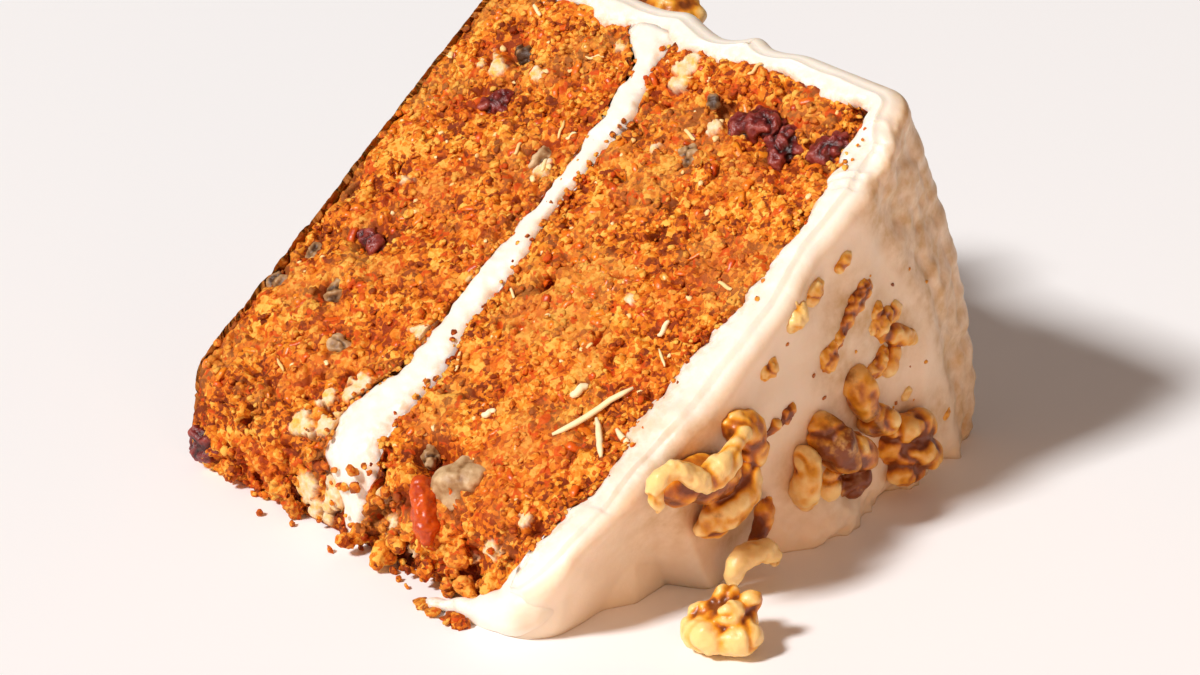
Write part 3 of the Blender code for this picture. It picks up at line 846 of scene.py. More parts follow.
def carrotFinish():
    # orange-red that lightens with noise and the point's own tone
    made = Finish("carrot", {"Roughness": 0.35, "Specular IOR Level": 0.45, "Subsurface Weight": 0.25,
                             "Subsurface Radius": (1.0, 0.25, 0.05), "Subsurface Scale": 0.0012})
    tone = made.noise(1.6, 3.0, 0.6) * 0.7 + made.value("tone") * 0.55
    stops = [(0.2, (0.40, 0.032, 0.001)), (0.5, (0.72, 0.105, 0.002)), (0.85, (0.86, 0.24, 0.010))]
    made.set("Base Color", made.ramp(tone, stops))
    made.bumps(made.noise(0.5, 3.0, 0.6), 0.4, 0.15)
    return made.material


def smoothPath(stops, count):
    # a Catmull-Rom curve through the stops: a cubic between each pair, sloped by its neighbours
    stops = np.array(stops, float)
    if len(stops) == 2:
        stops = np.array([stops[0], stops.mean(axis=0), stops[1]])
    padded = np.vstack([2 * stops[0] - stops[1], stops, 2 * stops[-1] - stops[-2]])
    place = np.linspace(0, len(stops) - 1, count)
    index = np.minimum(place.astype(int), len(stops) - 2)
    t = (place - index)[:, None]
    before, start, end, after = (padded[index + k] for k in range(4))
    return 0.5 * (2 * start + (end - before) * t + (2 * before - 5 * start + 4 * end - after) * t**2
                  + (3 * start - before - 3 * end + after) * t**3)


def lobeGrid(stops, width, flat):
    # a blunt-ended sausage: circles along a curve, their radius width times the fourth root of 1 - (2t -
    # 1)^4; flat squeezes it across its second direction
    path = smoothPath(stops, 22)
    tangent = np.gradient(path, axis=0)
    tangent /= np.maximum(np.linalg.norm(tangent, axis=1, keepdims=True), 1e-9)
    side = np.cross(tangent, np.array([1.0, 0.31, 0.17]))
    side /= np.linalg.norm(side, axis=1, keepdims=True)
    lift = np.cross(side, tangent)
    t = np.linspace(0.02, 0.98, len(path))
    radius = width * (1 - (2 * t - 1) ** 4) ** 0.5
    around = np.linspace(0, 2 * math.pi, 20, endpoint=False)
    ring = np.cos(around)[None, :, None] * side[:, None] + flat * np.sin(around)[None, :, None] * lift[:, None]
    # lengthens the path past its stops by the end's own roundness
    path = path + tangent * ((2 * t - 1) ** 3 * width * 0.8)[:, None]
    return path[:, None] + ring * radius[:, None, None]


def joinedLobes(lobes, voxel):
    # the union of all lobes, remeshed into one even skin of quads; a lobe is a curve, its half thickness and,
    # when given, its tone and how flat it is
    parts, faces, start = [], [], 0
    for lobe in lobes:
        flat = lobe[3] if len(lobe) > 3 else 1.0
        points, quads, _ = closedSkin(lobeGrid(lobe[0], lobe[1], flat), {})
        parts.append(points)
        faces.append(quads + start)
        start += len(points)
    mesh = bpy.data.meshes.new("lobes")
    mesh.from_pydata(np.vstack(parts), [], np.vstack(faces))
    holder = bpy.data.objects.new("lobes", mesh)
    bpy.context.scene.collection.objects.link(holder)
    remesh = holder.modifiers.new("join", "REMESH")
    remesh.mode = "VOXEL"
    remesh.voxel_size = voxel
    finished = holder.evaluated_get(bpy.context.evaluated_depsgraph_get()).to_mesh()
    points = np.empty(len(finished.vertices) * 3)
    finished.vertices.foreach_get("co", points)
    corners = np.empty(len(finished.loops), int)
    finished.loops.foreach_get("vertex_index", corners)
    holder.evaluated_get(bpy.context.evaluated_depsgraph_get()).to_mesh_clear()
    bpy.data.objects.remove(holder)
    bpy.data.meshes.remove(mesh)
    return points.reshape(-1, 3), corners.reshape(-1, 4)


def neighbourMean(values, faces, rounds=1):
    # each point's value replaced by the mean of its neighbours along the quads' edges
    pairs = np.vstack([faces[:, [k, (k + 1) % 4]] for k in range(4)])
    pairs = np.vstack([pairs, pairs[:, ::-1]])
    count = np.bincount(pairs[:, 0], minlength=len(values))[:, None]
    for _ in range(rounds):
        total = np.stack([np.bincount(pairs[:, 0], weights=values[pairs[:, 1], k], minlength=len(values))
                          for k in range(values.shape[1])], axis=1)
        values = total / np.maximum(count, 1)
    return values


def pointNormals(points, faces):
    # the sum of the normals of the quads that meet at each point, scaled to length 1
    normal = np.cross(points[faces[:, 2]] - points[faces[:, 0]], points[faces[:, 3]] - points[faces[:, 1]])
    total = np.zeros_like(points)
    for k in range(4):
        for axis in range(3):
            total[:, axis] += np.bincount(faces[:, k], weights=normal[:, axis], minlength=len(points))
    return total / np.maximum(np.linalg.norm(total, axis=1, keepdims=True), 1e-9)


def grooves(points, size, width, seed):
    # 1 along the lines where soft noise crosses zero, 0 away from them: winding valleys
    return bump(softNoise(points, size, seed), width)


def lobeTones(points, lobes):
    # each point's tone: the lobes' own tones, weighed by how near the lobe's skin is
    total, weights = 0.0, 1e-9
    for stops, width, tone in [(*lobe, 0.0)[:3] for lobe in lobes]:
        path = smoothPath(stops, 12)
        distance = np.linalg.norm(points[:, None] - path, axis=-1).min(axis=1) - width
        weight = bump(np.maximum(distance, 0), 0.8) + 1e-6
        total, weights = total + weight * tone, weights + weight
    return total / weights


def lumpyPiece(name, lobes, seed, material, voxel, folds, skin=0.0, floor=None):
    # joined lobes, folded by winding valleys and swells; depth says how far out a point lies from its
    # surroundings
    points, faces = joinedLobes(lobes, voxel)
    points = neighbourMean(points, faces, 2)
    normals = pointNormals(points, faces)
    warped = points + 0.9 * np.stack([softNoise(points, 3.0, seed + k) for k in range(3)], axis=-1)
    valley = 0.7 * grooves(warped, folds[0], 0.22, seed + 5)
    swell = 0.5 * layeredNoise(points, folds[0] * 0.8, seed + 7, 3) + 0.10 * softNoise(points, 0.8, seed + 8)
    points = points + normals * (folds[1] * (0.2 - valley * 0.8) + swell)[:, None]
    if floor is not None:
        points[:, 2] = np.maximum(points[:, 2], floor)
    smooth = neighbourMean(points, faces, 36)
    normals = pointNormals(points, faces)
    # the colour darkens in the valleys and pales on the ridges: partly the pieces' own darker grooves, partly
    # painted shade
    depth = 0.34 + np.einsum("ij,ij->i", points - smooth, normals) * 0.95 - 0.22 * valley
    depth = np.clip(depth + lobeTones(points, lobes), 0, 1)
    skinned = np.clip(skin + 0.45 * softNoise(points, 5.0, seed + 9), 0, 1)
    if signedVolume(points, faces) < 0:
        faces = faces[:, ::-1]
    return makeMesh(name, points, faces, material, {"depth": depth, "skin": skinned})


# each walnut piece: its solid, how much skin it keeps, and its lobes as (curve through points, half
# thickness)
walnuts = [
    ("walnutLarge", "walnut_large", 0.05, [
        ([(89.6, 50.0, 26.6), (91.6, 46.0, 25.6), (92.2, 42.0, 23.2), (91.6, 38.2, 24.2), (90.4, 35.0, 26.4),
          (89.2, 32.2, 24.4), (88.8, 33.0, 20.8)], 1.75, 0.17),
        ([(92.0, 44.0, 24.6), (92.0, 40.5, 23.0)], 2.2, 0.20),
        ([(87.6, 54.0, 20.5), (88.2, 52.8, 24.4), (87.4, 50.0, 27.0)], 2.9, -0.12),
        ([(88.2, 51.6, 18.6), (89.2, 49.6, 15.4), (88.0, 46.2, 13.4)], 3.1, 0.12),
        ([(87.2, 37.0, 21.5), (87.4, 43.0, 20.5), (87.4, 48.5, 19.5)], 3.6, -0.22),
        ([(87.0, 44.2, 11.6), (87.2, 48.4, 10.4)], 1.5, -0.20)]),
    ("walnutOval", "walnut_oval", 0.0, [
        ([(87.6, 66.4, 15.4), (88.9, 65.2, 12.0), (88.0, 66.4, 8.0)], 2.3, 0.10)]),
    ("walnutSkinned", "walnut_skinned", 0.44, [
        ([(88.0, 69.8, 18.2), (90.2, 72.6, 14.8), (89.6, 77.0, 12.4)], 3.2, -0.24),
        ([(91.6, 70.6, 17.2), (91.8, 73.0, 15.8)], 1.3, 0.45),
        ([(88.8, 77.0, 8.6), (88.6, 74.6, 7.0)], 2.3, -0.05),
        ([(87.8, 72.6, 10.6), (88.0, 70.6, 7.8)], 2.3, 0.0)]),
    ("walnutBrown", "walnut_brown", 0.26, [
        ([(87.0, 78.6, 23.4), (88.2, 79.4, 19.0)], 2.8, -0.18),
        ([(88.0, 81.6, 16.6), (88.6, 84.4, 14.6)], 2.4, -0.05),
        ([(87.4, 80.6, 14.8), (87.6, 82.6, 13.6)], 1.8, -0.15)]),
    ("walnutLow", "walnut_low", 0.15, [
        ([(87.2, 86.6, 11.6), (88.4, 90.6, 11.8), (87.6, 94.6, 9.6)], 2.3, -0.12),
        ([(88.6, 88.4, 8.0), (89.4, 91.8, 7.0), (88.4, 95.2, 5.0)], 2.3, -0.10),
        ([(88.2, 87.4, 4.6), (88.4, 91.0, 3.4)], 2.3, -0.18),
        ([(86.6, 86.6, 9.0), (86.8, 93.0, 6.0)], 3.2, -0.25)]),
    ("walnutSunk", "walnut_sunk", 0.10, [
        ([(85.6, 82.4, 30.4), (86.2, 86.4, 28.4), (85.8, 90.6, 26.4), (85.0, 93.4, 24.6)], 1.7, -0.12),
        ([(85.4, 87.8, 24.6), (85.8, 86.4, 22.2)], 1.9, -0.15),
        ([(85.0, 84.0, 29.0), (85.2, 90.0, 26.6)], 2.0, -0.20)]),
    ("walnutCurl", "walnut_curl", 0.10, [
        ([(89.6, 48.4, 2.0), (90.6, 48.6, 5.4), (91.6, 51.0, 7.0), (91.8, 54.0, 5.8), (91.4, 55.8, 3.6)],
         1.6, 0.18),
        ([(88.0, 57.6, 11.2), (88.2, 55.8, 7.8), (89.0, 53.8, 4.8)], 1.4, -0.40),
        ([(90.6, 49.4, 6.0), (91.4, 51.6, 6.8)], 1.9, 0.25)]),
    ("walnutFoot", "walnut_foot", 0.0, [
        ([(96.2, 33.6, 3.2), (99.4, 33.2, 3.0)], 2.6, 0.22),
        ([(101.6, 34.8, 2.8), (103.2, 37.4, 3.4)], 2.4, 0.18),
        ([(98.0, 36.4, 4.2), (100.6, 38.2, 4.4)], 3.2, 0.22),
        ([(96.8, 37.6, 6.6), (97.6, 39.0, 7.6)], 1.7, -0.15),
        ([(100.4, 39.6, 6.8), (101.6, 40.6, 7.2)], 1.6, -0.20),
        ([(94.6, 35.4, 4.8), (96.0, 36.2, 5.6)], 1.5, -0.05),
        ([(99.6, 35.6, 6.2), (101.0, 36.6, 6.4)], 1.9, 0.10)]),
    ("walnutRim", "walnut_rim", 0.2, [
        ([(21.0, 100.4, 59.6), (24.4, 101.4, 61.4)], 2.7, -0.10),
        ([(26.0, 100.2, 60.6), (29.6, 101.8, 61.6)], 3.0, 0.05),
        ([(30.4, 100.6, 60.2), (32.0, 102.0, 59.2)], 2.2, -0.10),
        ([(24.0, 98.6, 58.6), (30.0, 99.0, 58.6)], 3.0, -0.15)]),
]


def walnutPieces():
    # each listed piece as joined lobes, and the pale one sunk in the torn crumb
    for index, (name, node, skin, lobes) in enumerate(walnuts):
        floor = 0.0 if name == "walnutFoot" else None
        piece = lumpyPiece(name, lobes, 400 + 20 * index, walnutMaterial, walnut["voxel"],
                           (4.2, walnut["grooveDepth"]), skin, floor)
        finishPiece(piece, node)
    buried = [(np.array([onCut(54.6, 28.2, -1.6), onCut(59.0, 30.2, -1.2)]), 3.0, 0.1),
              (np.array([onCut(56.0, 31.6, -1.2), onCut(58.0, 27.2, -1.8)]), 2.5, 0.1)]
    piece = lumpyPiece("walnutInCrumb", buried, 640, fleshMaterial, walnut["voxel"], (3.4, 0.5), 0.0)
    finishPiece(piece, "walnut_in_crumb")


def palerNut():
    # the duller flesh of nuts baked in the crumb: brown that lightens with depth, with painted shade in its
    # valleys
    made = Finish("walnutFlesh", {"Roughness": 0.5, "Specular IOR Level": 0.4})
    tone = made.value("depth") * 0.7 + made.noise(1.3, 3.0, 0.6) * 0.5 - 0.1
    stops = [(0.2, (0.07, 0.028, 0.010)), (0.45, (0.33, 0.17, 0.065)), (0.8, (0.66, 0.45, 0.24))]
    made.set("Base Color", made.ramp(tone, stops))
    made.bumps(made.noise(0.6, 3.0, 0.6), 0.5, 0.2)
    return made.material


def raisinPieces():
    # each raisin: where its middle lies on or near the cut, its length's direction along x and the radius,
    # its size
    material = raisinFinish()
    raisins = [
        ("raisin1", "raisin_1", (61.3, 100.7), (2.4, 1.0), 2.9),
        ("raisin2", "raisin_2", (67.6, 98.8), (0.6, -2.4), 2.2),
        ("raisin3", "raisin_3", (75.2, 101.0), (1.4, 1.6), 2.4),
        ("raisin4", "raisin_4", (15.5, 88.9), (1.0, 1.2), 2.2),
        ("raisin5", "raisin_5", (12.5, 58.8), (1.6, -0.8), 2.0),
    ]
    for index, (name, node, (x, radius), (along, out), width) in enumerate(raisins):
        long = np.array([onCut(x - along, radius - out, -1.9), onCut(x + along, radius + out, -1.8)])
        short = np.array([onCut(x - out, radius + along * 0.6, -2.0), onCut(x + out, radius, -1.7)])
        lobes = [(long, width, 0.0, 0.9), (short, width * 0.75)]
        piece = lumpyPiece(name, lobes, 700 + 20 * index, material, 0.22, (2.0, 0.75), 0.0)
        finishPiece(piece, node)
    corner = [([(3.2, 21.6, 3.2), (6.4, 21.2, 5.6)], 2.7), ([(4.4, 20.6, 5.8), (5.0, 21.4, 3.0)], 2.3)]
    finishPiece(lumpyPiece("raisin6", corner, 820, material, 0.22, (2.0, 0.75)), "raisin_6")


def carrotPiece():
    # one flattened lobe that hangs at the torn tip
    lobes = [([(53.0, 21.6, 14.2), (54.4, 20.6, 11.2), (55.6, 20.6, 8.2)], 3.0, 0.0, 0.7)]
    piece = lumpyPiece("carrotChunk", lobes, 860, carrotMaterial, 0.22, (2.6, 0.4))
    finishPiece(piece, "carrot_chunk")


carrotMaterial = carrotFinish()
walnutMaterial = walnutFinish()
fleshMaterial = palerNut()
walnutPieces()
raisinPieces()
carrotPiece()
print("walnuts, raisins and carrot are in")


scatter = {
    "crumbs": 1750,
    "borderCrumbs": 420,
    "tipCrumbs": 110,
    "crumbRadius": (0.25, 0.70),  # mm
    "shreds": 260,
    "shredLength": (1.6, 4.6),
    "threads": 16,
    "specks": 90,
}


def lumps(name, centres, radii, seed, material, values, normal=None):
    # small closed lumps joined into one mesh: a ball of five rings, stretched by three radii, dented by noise
    # and turned at random, or only about the normal when one is given; values hold one number for each lump
    draw = np.random.default_rng(seed)
    tilt, turn = np.linspace(0.16, 0.84, 5)[:, None] * math.pi, np.linspace(0, 2 * math.pi, 8, endpoint=False)
    across = np.sin(tilt)
    ball = np.stack([across * np.cos(turn), across * np.sin(turn), np.cos(tilt) + 0 * turn], axis=-1)
    points, faces, _ = closedSkin(ball, {})
    points[-2:] *= 1.12
    count = len(centres)
    dents = softNoise(points * 1.5 + draw.uniform(-99, 99, (count, 1, 3)), 1.0, seed + 1)
    placed = points * (1 + 0.48 * dents)[..., None] * radii[:, None]
    rotation = draw.normal(size=(count, 3, 3))
    if normal is not None:
        rotation[:, :, 0] = normal
    rotation = np.linalg.qr(rotation)[0][:, :, ::-1]
    rotation *= np.sign(np.linalg.det(rotation))[:, None, None]
    rotation = np.swapaxes(rotation, 1, 2)
    placed = np.einsum("npk,nkj->npj", placed, rotation) + centres[:, None]
    placed[..., 2] = np.maximum(placed[..., 2], 0.02)
    joined = (faces + np.arange(count)[:, None, None] * len(points)).reshape(-1, 4)
    spread = {key: np.repeat(numbers, len(points)) for key, numbers in values.items()}
    return finishPiece(makeMesh(name, placed.reshape(-1, 3), joined, material, spread), None)


def strips(name, paths, widths, thickness, material, tones):
    # closed ribbons joined into one mesh: six-sided sections across each path, tapering as the fourth root of
    # 1 - (2t - 1)^4
    parts, quads, numbers, start = [], [], [], 0
    around = np.linspace(0, 2 * math.pi, 6, endpoint=False)[None, :, None]
    for path, width, tone in zip(paths, widths, tones):
        along = np.gradient(path, axis=0)
        side = np.cross(along, cutNormal)
        side /= np.maximum(np.linalg.norm(side, axis=1, keepdims=True), 1e-9)
        t = np.linspace(0.03, 0.97, len(path))
        taper = ((1 - (2 * t - 1) ** 4) ** 0.5)[:, None, None]
        ring = width * np.cos(around) * side[:, None] + width * thickness * np.sin(around) * cutNormal
        points, faces, _ = closedSkin(path[:, None] + ring * taper, {})
        points[:, 2] = np.maximum(points[:, 2], 0.02)
        parts.append(points)
        quads.append(faces + start)
        numbers.append(np.full(len(points), tone))
        start += len(points)
    return finishPiece(makeMesh(name, np.vstack(parts), np.vstack(quads), material,
                                {"tone": np.concatenate(numbers)}), None)


def cutPlaces(count, seed, lowRadius=26.0, highRadius=108.0):
    # random places on the bare crumb of the cut face: x, radius, and whether each is on the lower layer
    draw = np.random.default_rng(seed)
    x, radius = draw.uniform(0.8, 80, count * 2), np.sqrt(draw.uniform(lowRadius**2, highRadius**2, count * 2))
    low, high = borderAt(fillingLow, radius) - 0.6, borderAt(fillingHigh, radius) + 0.5
    bare = ((x < low) | (x > high)) & (x < borderAt(coatInner, radius) - 1.2)
    x, radius = x[bare][:count], radius[bare][:count]
    return x, radius, x < borderAt(fillingLow, radius)


def cutHeight(x, radius, onLower):
    # how far the crumb stands above the plane of the cut face there
    flat = onCut(x, radius)
    return np.where(onLower, surfaceRelief(flat, True, 100), surfaceRelief(flat, True, 200))


def crumbPieces():
    # loose crumbs on the cut, at the height of its relief, and more along the frosting's borders
    draw = np.random.default_rng(11)
    x, radius, onLower = cutPlaces(scatter["crumbs"], 12)
    sizes = draw.uniform(*scatter["crumbRadius"], len(x))
    centres = onCut(x, radius, cutHeight(x, radius, onLower) - 0.05 * sizes)
    # crumbs along each border of the frosting
    count = scatter["borderCrumbs"]
    borderRadius = draw.uniform(24, 108, count)
    borders = [borderAt(border, borderRadius) for border in (fillingLow, fillingHigh, coatInner)]
    border = np.choose(draw.integers(0, 3, count), borders)
    borderCentres = onCut(border + draw.normal(0, 1.0, count), borderRadius, draw.uniform(-0.2, 0.45, count))
    centres = np.vstack([centres, borderCentres])
    sizes = np.concatenate([sizes, draw.uniform(0.22, 0.5, count)])
    radii = sizes[:, None] * draw.uniform(0.8, 1.5, (len(sizes), 3)) * np.array([1, 1, 0.6])
    tones = np.clip(draw.normal(0.66, 0.26, len(sizes)), 0.1, 1)
    lumps("looseCrumbs", centres, radii, 13, crumbMaterial, {"depth": tones}, cutNormal)


# chunks that hang from the torn tip or lie just in front of it: x, y, z, half size in mm, tone
chunks = [
    (26.0, 18.8, 1.6, 1.9, 0.62), (24.2, 19.6, 4.2, 1.6, 0.55), (39.6, 18.8, 1.9, 2.3, 0.42),
    (41.6, 19.6, 4.6, 1.8, 0.55), (47.0, 18.0, 1.9, 2.2, 0.80), (49.2, 19.0, 4.0, 1.7, 0.72),
    (56.6, 19.0, 3.0, 2.4, 0.60), (60.6, 19.0, 2.0, 2.2, 0.72), (64.6, 18.8, 2.6, 2.5, 0.82),
    (68.6, 19.2, 4.4, 2.3, 0.76), (61.6, 19.6, 7.0, 2.4, 0.66), (12.6, 19.8, 1.8, 2.0, 0.66),
    (17.0, 19.8, 1.8, 2.1, 0.56), (20.4, 20.2, 5.8, 2.0, 0.40), (70.6, 20.0, 8.4, 1.8, 0.60),
    (52.4, 19.4, 1.4, 1.3, 0.30),
]


def tipChunks():
    # each chunk is three random lobes joined; grains stick to them
    draw = np.random.default_rng(15)
    lobes, centres = [], []
    for x, y, z, size, tone in chunks:
        for _ in range(3):
            start = np.array([x, y, z]) + draw.uniform(-0.5, 0.5, 3) * size
            end = start + draw.uniform(-0.5, 0.5, 3) * size
            lobes.append(([start, end], size * draw.uniform(0.45, 0.7), 0.0, 0.85))
        centres.append((x, y, z))
    points, faces = joinedLobes(lobes, 0.3)
    points = neighbourMean(points, faces, 2)
    normals = pointNormals(points, faces)
    relief = crumbRelief(points * 1.25, 17) * 0.8
    points += normals * relief[:, None]
    points[:, 2] = np.maximum(points[:, 2], 0.02)
    if signedVolume(points, faces) < 0:
        faces = faces[:, ::-1]
    distance = np.linalg.norm(points[:, None] - np.array(centres), axis=-1)
    tone = np.array([chunk[4] for chunk in chunks])[distance.argmin(axis=1)]
    # painted shade: each chunk's given tone, darker in the pits of its relief and lighter on its clumps
    values = {"depth": np.clip(tone + relief * 0.3, 0, 1)}
    finishPiece(makeMesh("tipChunks", points, faces, crumbMaterial, values), None)
    count = scatter["tipCrumbs"]
    across, out, up = draw.uniform(10, 72, count), draw.uniform(0, 0.7, count), draw.uniform(0.3, 13, count)
    places = np.stack([across, 20.4 - out, up], axis=-1)
    loose = np.stack([draw.uniform(20, 70, 7), 18.4 - draw.uniform(0, 2.4, 7), np.full(7, 0.45)], axis=-1)
    sizes = np.concatenate([draw.uniform(0.35, 0.9, count), draw.uniform(0.3, 0.7, 7)])
    radii = sizes[:, None] * draw.uniform(0.8, 1.3, (len(sizes), 3)) * np.array([1, 1, 0.7])
    tones = np.clip(draw.normal(0.62, 0.26, len(sizes)), 0.1, 1)
    lumps("tipCrumbs", np.vstack([places, loose]), radii, 18, crumbMaterial, {"depth": tones}, (0, -1, 0))


def carrotShreds():
    # short arcs: a random heading that turns evenly along each shred, laid on the relief
    draw = np.random.default_rng(21)
    x, radius, onLower = cutPlaces(scatter["shreds"], 22, 24.0)
    heading = draw.uniform(0, 2 * math.pi, len(x))
    t = np.linspace(-0.5, 0.5, 8)[:, None]
    angle = heading + draw.uniform(-1.6, 1.6, len(x)) * t
    length = draw.uniform(*scatter["shredLength"], len(x))
    pathX = x + np.cumsum(np.cos(angle), axis=0) * length / 8
    pathRadius = radius + np.cumsum(np.sin(angle), axis=0) * length / 8
    height = cutHeight(pathX, pathRadius, onLower)
    above = 0.7 * height + 0.3 * height.mean(axis=0) - 0.05 - 0.8 * (2 * t) ** 4
    inside = (pathX > 0.5).all(axis=0)
    paths = np.moveaxis(onCut(pathX, pathRadius, above), 1, 0)[inside]
    widths = draw.uniform(0.35, 0.8, len(x))[inside]
    return strips("carrotShreds", paths, widths, 0.42, carrotMaterial, draw.uniform(0, 1, len(x))[inside])


# cream threads on the cut: x and radius of each end, half width in mm
threads = [
    ((66.6, 41.7), (73.6, 53.4), 0.58), ((71.2, 46.9), (76.6, 41.6), 0.55),
    ((75.5, 46.6), (79.2, 45.0), 0.5), ((65.0, 48.4), (66.6, 50.8), 0.75),
    ((71.0, 62.6), (71.2, 65.4), 0.45), ((53.6, 40.0), (55.4, 41.2), 0.60),
]


def paleBits():
    # the listed threads and some random ones, each with one wave of a sine, and pale specks
    draw = np.random.default_rng(31)
    x, radius, _ = cutPlaces(scatter["threads"], 32)
    stepX, stepRadius = draw.uniform(-3.2, 3.2, (2, len(x)))
    widths = draw.uniform(0.22, 0.36, len(x))
    ends = list(zip(zip(x, radius), zip(x + stepX, radius + stepRadius), widths)) + threads
    t = np.linspace(0, 1, 8)
    paths = []
    for start, end, _ in ends:
        wave = np.outer(np.sin(t * 6.3), (0.25, -0.2))
        places = np.array(start) + np.outer(t, np.subtract(end, start)) + wave
        height = cutHeight(places[:, 0], places[:, 1], places[0, 0] < 35)
        paths.append(onCut(places[:, 0], places[:, 1], 0.4 * height + 0.6 * height.max() + 0.2))
    strips("coconutThreads", paths, [end[2] for end in ends], 0.7, creamMaterial, np.linspace(0, 1, len(ends)))
    speckX, speckRadius, speckLower = cutPlaces(scatter["specks"], 33)
    centres = onCut(speckX, speckRadius, cutHeight(speckX, speckRadius, speckLower) - 0.1)
    sizes = draw.uniform(0.22, 0.5, len(speckX))
    radii = sizes[:, None] * draw.uniform(0.8, 1.5, (len(sizes), 3)) * np.array([1, 1, 0.6])
    lumps("paleBits", centres, radii, 34, creamMaterial, {"tone": draw.uniform(0, 0.6, len(sizes))}, cutNormal)


# small nut bits on the iced top: y, z, half length in y, in z, tone; then in the cut: x, radius, size, tone
icedBits = [
    (80.2, 37.6, 1.7, 1.9, 0.22), (78.4, 36.2, 1.6, 2.0, 0.18), (76.4, 33.6, 1.3, 2.0, 0.24),
    (75.2, 31.4, 1.0, 1.4, 0.26), (69.4, 40.5, 2.2, 1.8, 0.34), (64.4, 38.9, 1.8, 2.4, 0.58),
    (72.7, 28.8, 1.6, 2.6, 0.26), (75.7, 43.6, 1.6, 1.2, 0.30), (83.5, 33.3, 1.3, 1.1, 0.24),
    (62.8, 23.4, 1.5, 1.4, 0.02), (58.8, 32.3, 1.8, 1.9, 0.36), (59.0, 22.2, 2.3, 1.0, 0.20),
    (91.8, 15.9, 1.2, 1.0, 0.50), (101.6, 8.7, 1.0, 0.8, 0.40), (84.6, 30.4, 2.6, 1.8, 0.40),
    (87.0, 31.0, 2.2, 1.4, 0.46), (82.6, 23.4, 2.6, 1.7, 0.34), (84.4, 25.2, 1.8, 1.5, 0.42),
]
cutBits = [
    (54.4, 91.9, 1.9, 0.22), (30.6, 82.6, 2.4, 0.45), (13.0, 49.0, 2.0, 0.20), (20.3, 41.2, 1.8, 0.25),
    (1.8, 46.7, 1.8, 0.15), (3.9, 53.4, 1.6, 0.15), (13.6, 98.3, 1.7, -0.2), (52.0, 101.8, 1.1, -0.2),
    (48.4, 31.4, 1.6, 0.20),
]


def nutBits():
    # pairs of small lobes at the listed places on the iced top and in the cut, with specks between them
    draw = np.random.default_rng(41)
    table = np.array(icedBits)
    speck = draw.uniform((58, 10), (98, 40), (16, 2))
    y, z = np.concatenate([table[:, 0], speck[:, 0]]), np.concatenate([table[:, 1], speck[:, 1]])
    height = cake["height"] + topRelief(y, z, np.hypot(y, z), np.arctan2(z, y))
    size = draw.uniform(0.15, 0.42, len(speck))
    lobes = []
    for (acrossY, acrossZ, halfY, halfZ, tone), up in zip(table, height):
        reach = np.array([0, max(halfY - halfZ, 0) + 0.3, max(halfZ - halfY, 0) + 0.3])
        middle = np.array([up + 0.2 - 0.55 * min(halfY, halfZ), acrossY, acrossZ])
        lobes.append(([middle - reach, middle + reach], min(halfY, halfZ) * 1.15, tone - 0.43))
        lobes.append(([middle + reach[[0, 2, 1]], middle + reach], min(halfY, halfZ), tone - 0.43))
    finishPiece(lumpyPiece("nutBits", lobes, 42, walnutMaterial, 0.25, (2.2, 0.35), 0.1), None)
    radii = np.column_stack([size, size, size * 0.6])
    centres = np.column_stack([height, y, z])[len(table):]
    values = {"depth": draw.uniform(0.1, 0.5, len(speck))}
    lumps("nutSpecks", centres, radii, 44, walnutMaterial, values, (1, 0, 0))
    lobes = []
    for x, radius, reach, tone in cutBits:
        turn = draw.uniform(0, math.pi)
        ends = np.array([-1, 1]) * reach * 0.7
        stepX, stepRadius = ends * math.cos(turn), ends * math.sin(turn)
        above = float(cutHeight(np.array([x]), np.array([radius]), np.array([x < 35]))[0]) * 0.4 - 0.5 * reach
        lobes.append((onCut(x + stepX, radius + stepRadius, above), reach * 0.8, tone - 0.4))
        crossing = onCut(x + stepRadius * 0.6, radius - stepX * 0.6, above)
        lobes.append((crossing, reach * 0.75, tone - 0.4))
    finishPiece(lumpyPiece("nutsInCrumb", lobes, 43, fleshMaterial, 0.25, (2.0, 0.6)), None)


def frostingFoot():
    # the smear that the tip of the coat leaves on the floor, and the orange crumb caught under its end
    lobes = [([(60.0, 15.6, 0.5), (66.0, 17.2, 0.9)], 1.3, 0.0, 0.8),
             ([(64.0, 16.8, 1.1), (71.0, 18.0, 1.7)], 2.1, 0.0, 0.8),
             ([(69.0, 18.0, 1.9), (76.0, 19.4, 3.2)], 3.1),
             ([(74.0, 19.0, 3.6), (78.0, 21.0, 6.2)], 3.9),
             ([(72.5, 20.6, 4.5), (77.0, 22.0, 11.0)], 2.6)]
    points, faces = joinedLobes(lobes, 0.35)
    points = neighbourMean(points, faces, 8)
    normals = pointNormals(points, faces)
    points += normals * (0.4 * softNoise(points, 4.0, 51) + 0.15 * softNoise(points, 1.6, 52))[:, None]
    points[:, 2] = np.maximum(points[:, 2], 0.02)
    if signedVolume(points, faces) < 0:
        faces = faces[:, ::-1]
    crumbed = rise(70 - points[:, 0], 0, 10) * 0.6
    # the foot's upper end takes the same painted warm shade as the iced top
    values = {"crumbed": crumbed, "iced": rise(points[:, 0], 74, 79)}
    finishPiece(makeMesh("frostingFoot", points, faces, frostingMaterial, values), None)
    spot = np.random.default_rng(53)
    centres = np.column_stack([spot.uniform(59, 68, 9), spot.uniform(13.4, 15.0, 9), spot.uniform(0.4, 0.8, 9)])
    radii = spot.uniform(0.5, 1.5, (9, 3)) * np.array([1, 1, 0.6])
    values = {"depth": spot.uniform(0.3, 0.8, 9)}
    lumps("crumbsAtFoot", centres, radii, 54, crumbMaterial, values, (0, 0, 1))


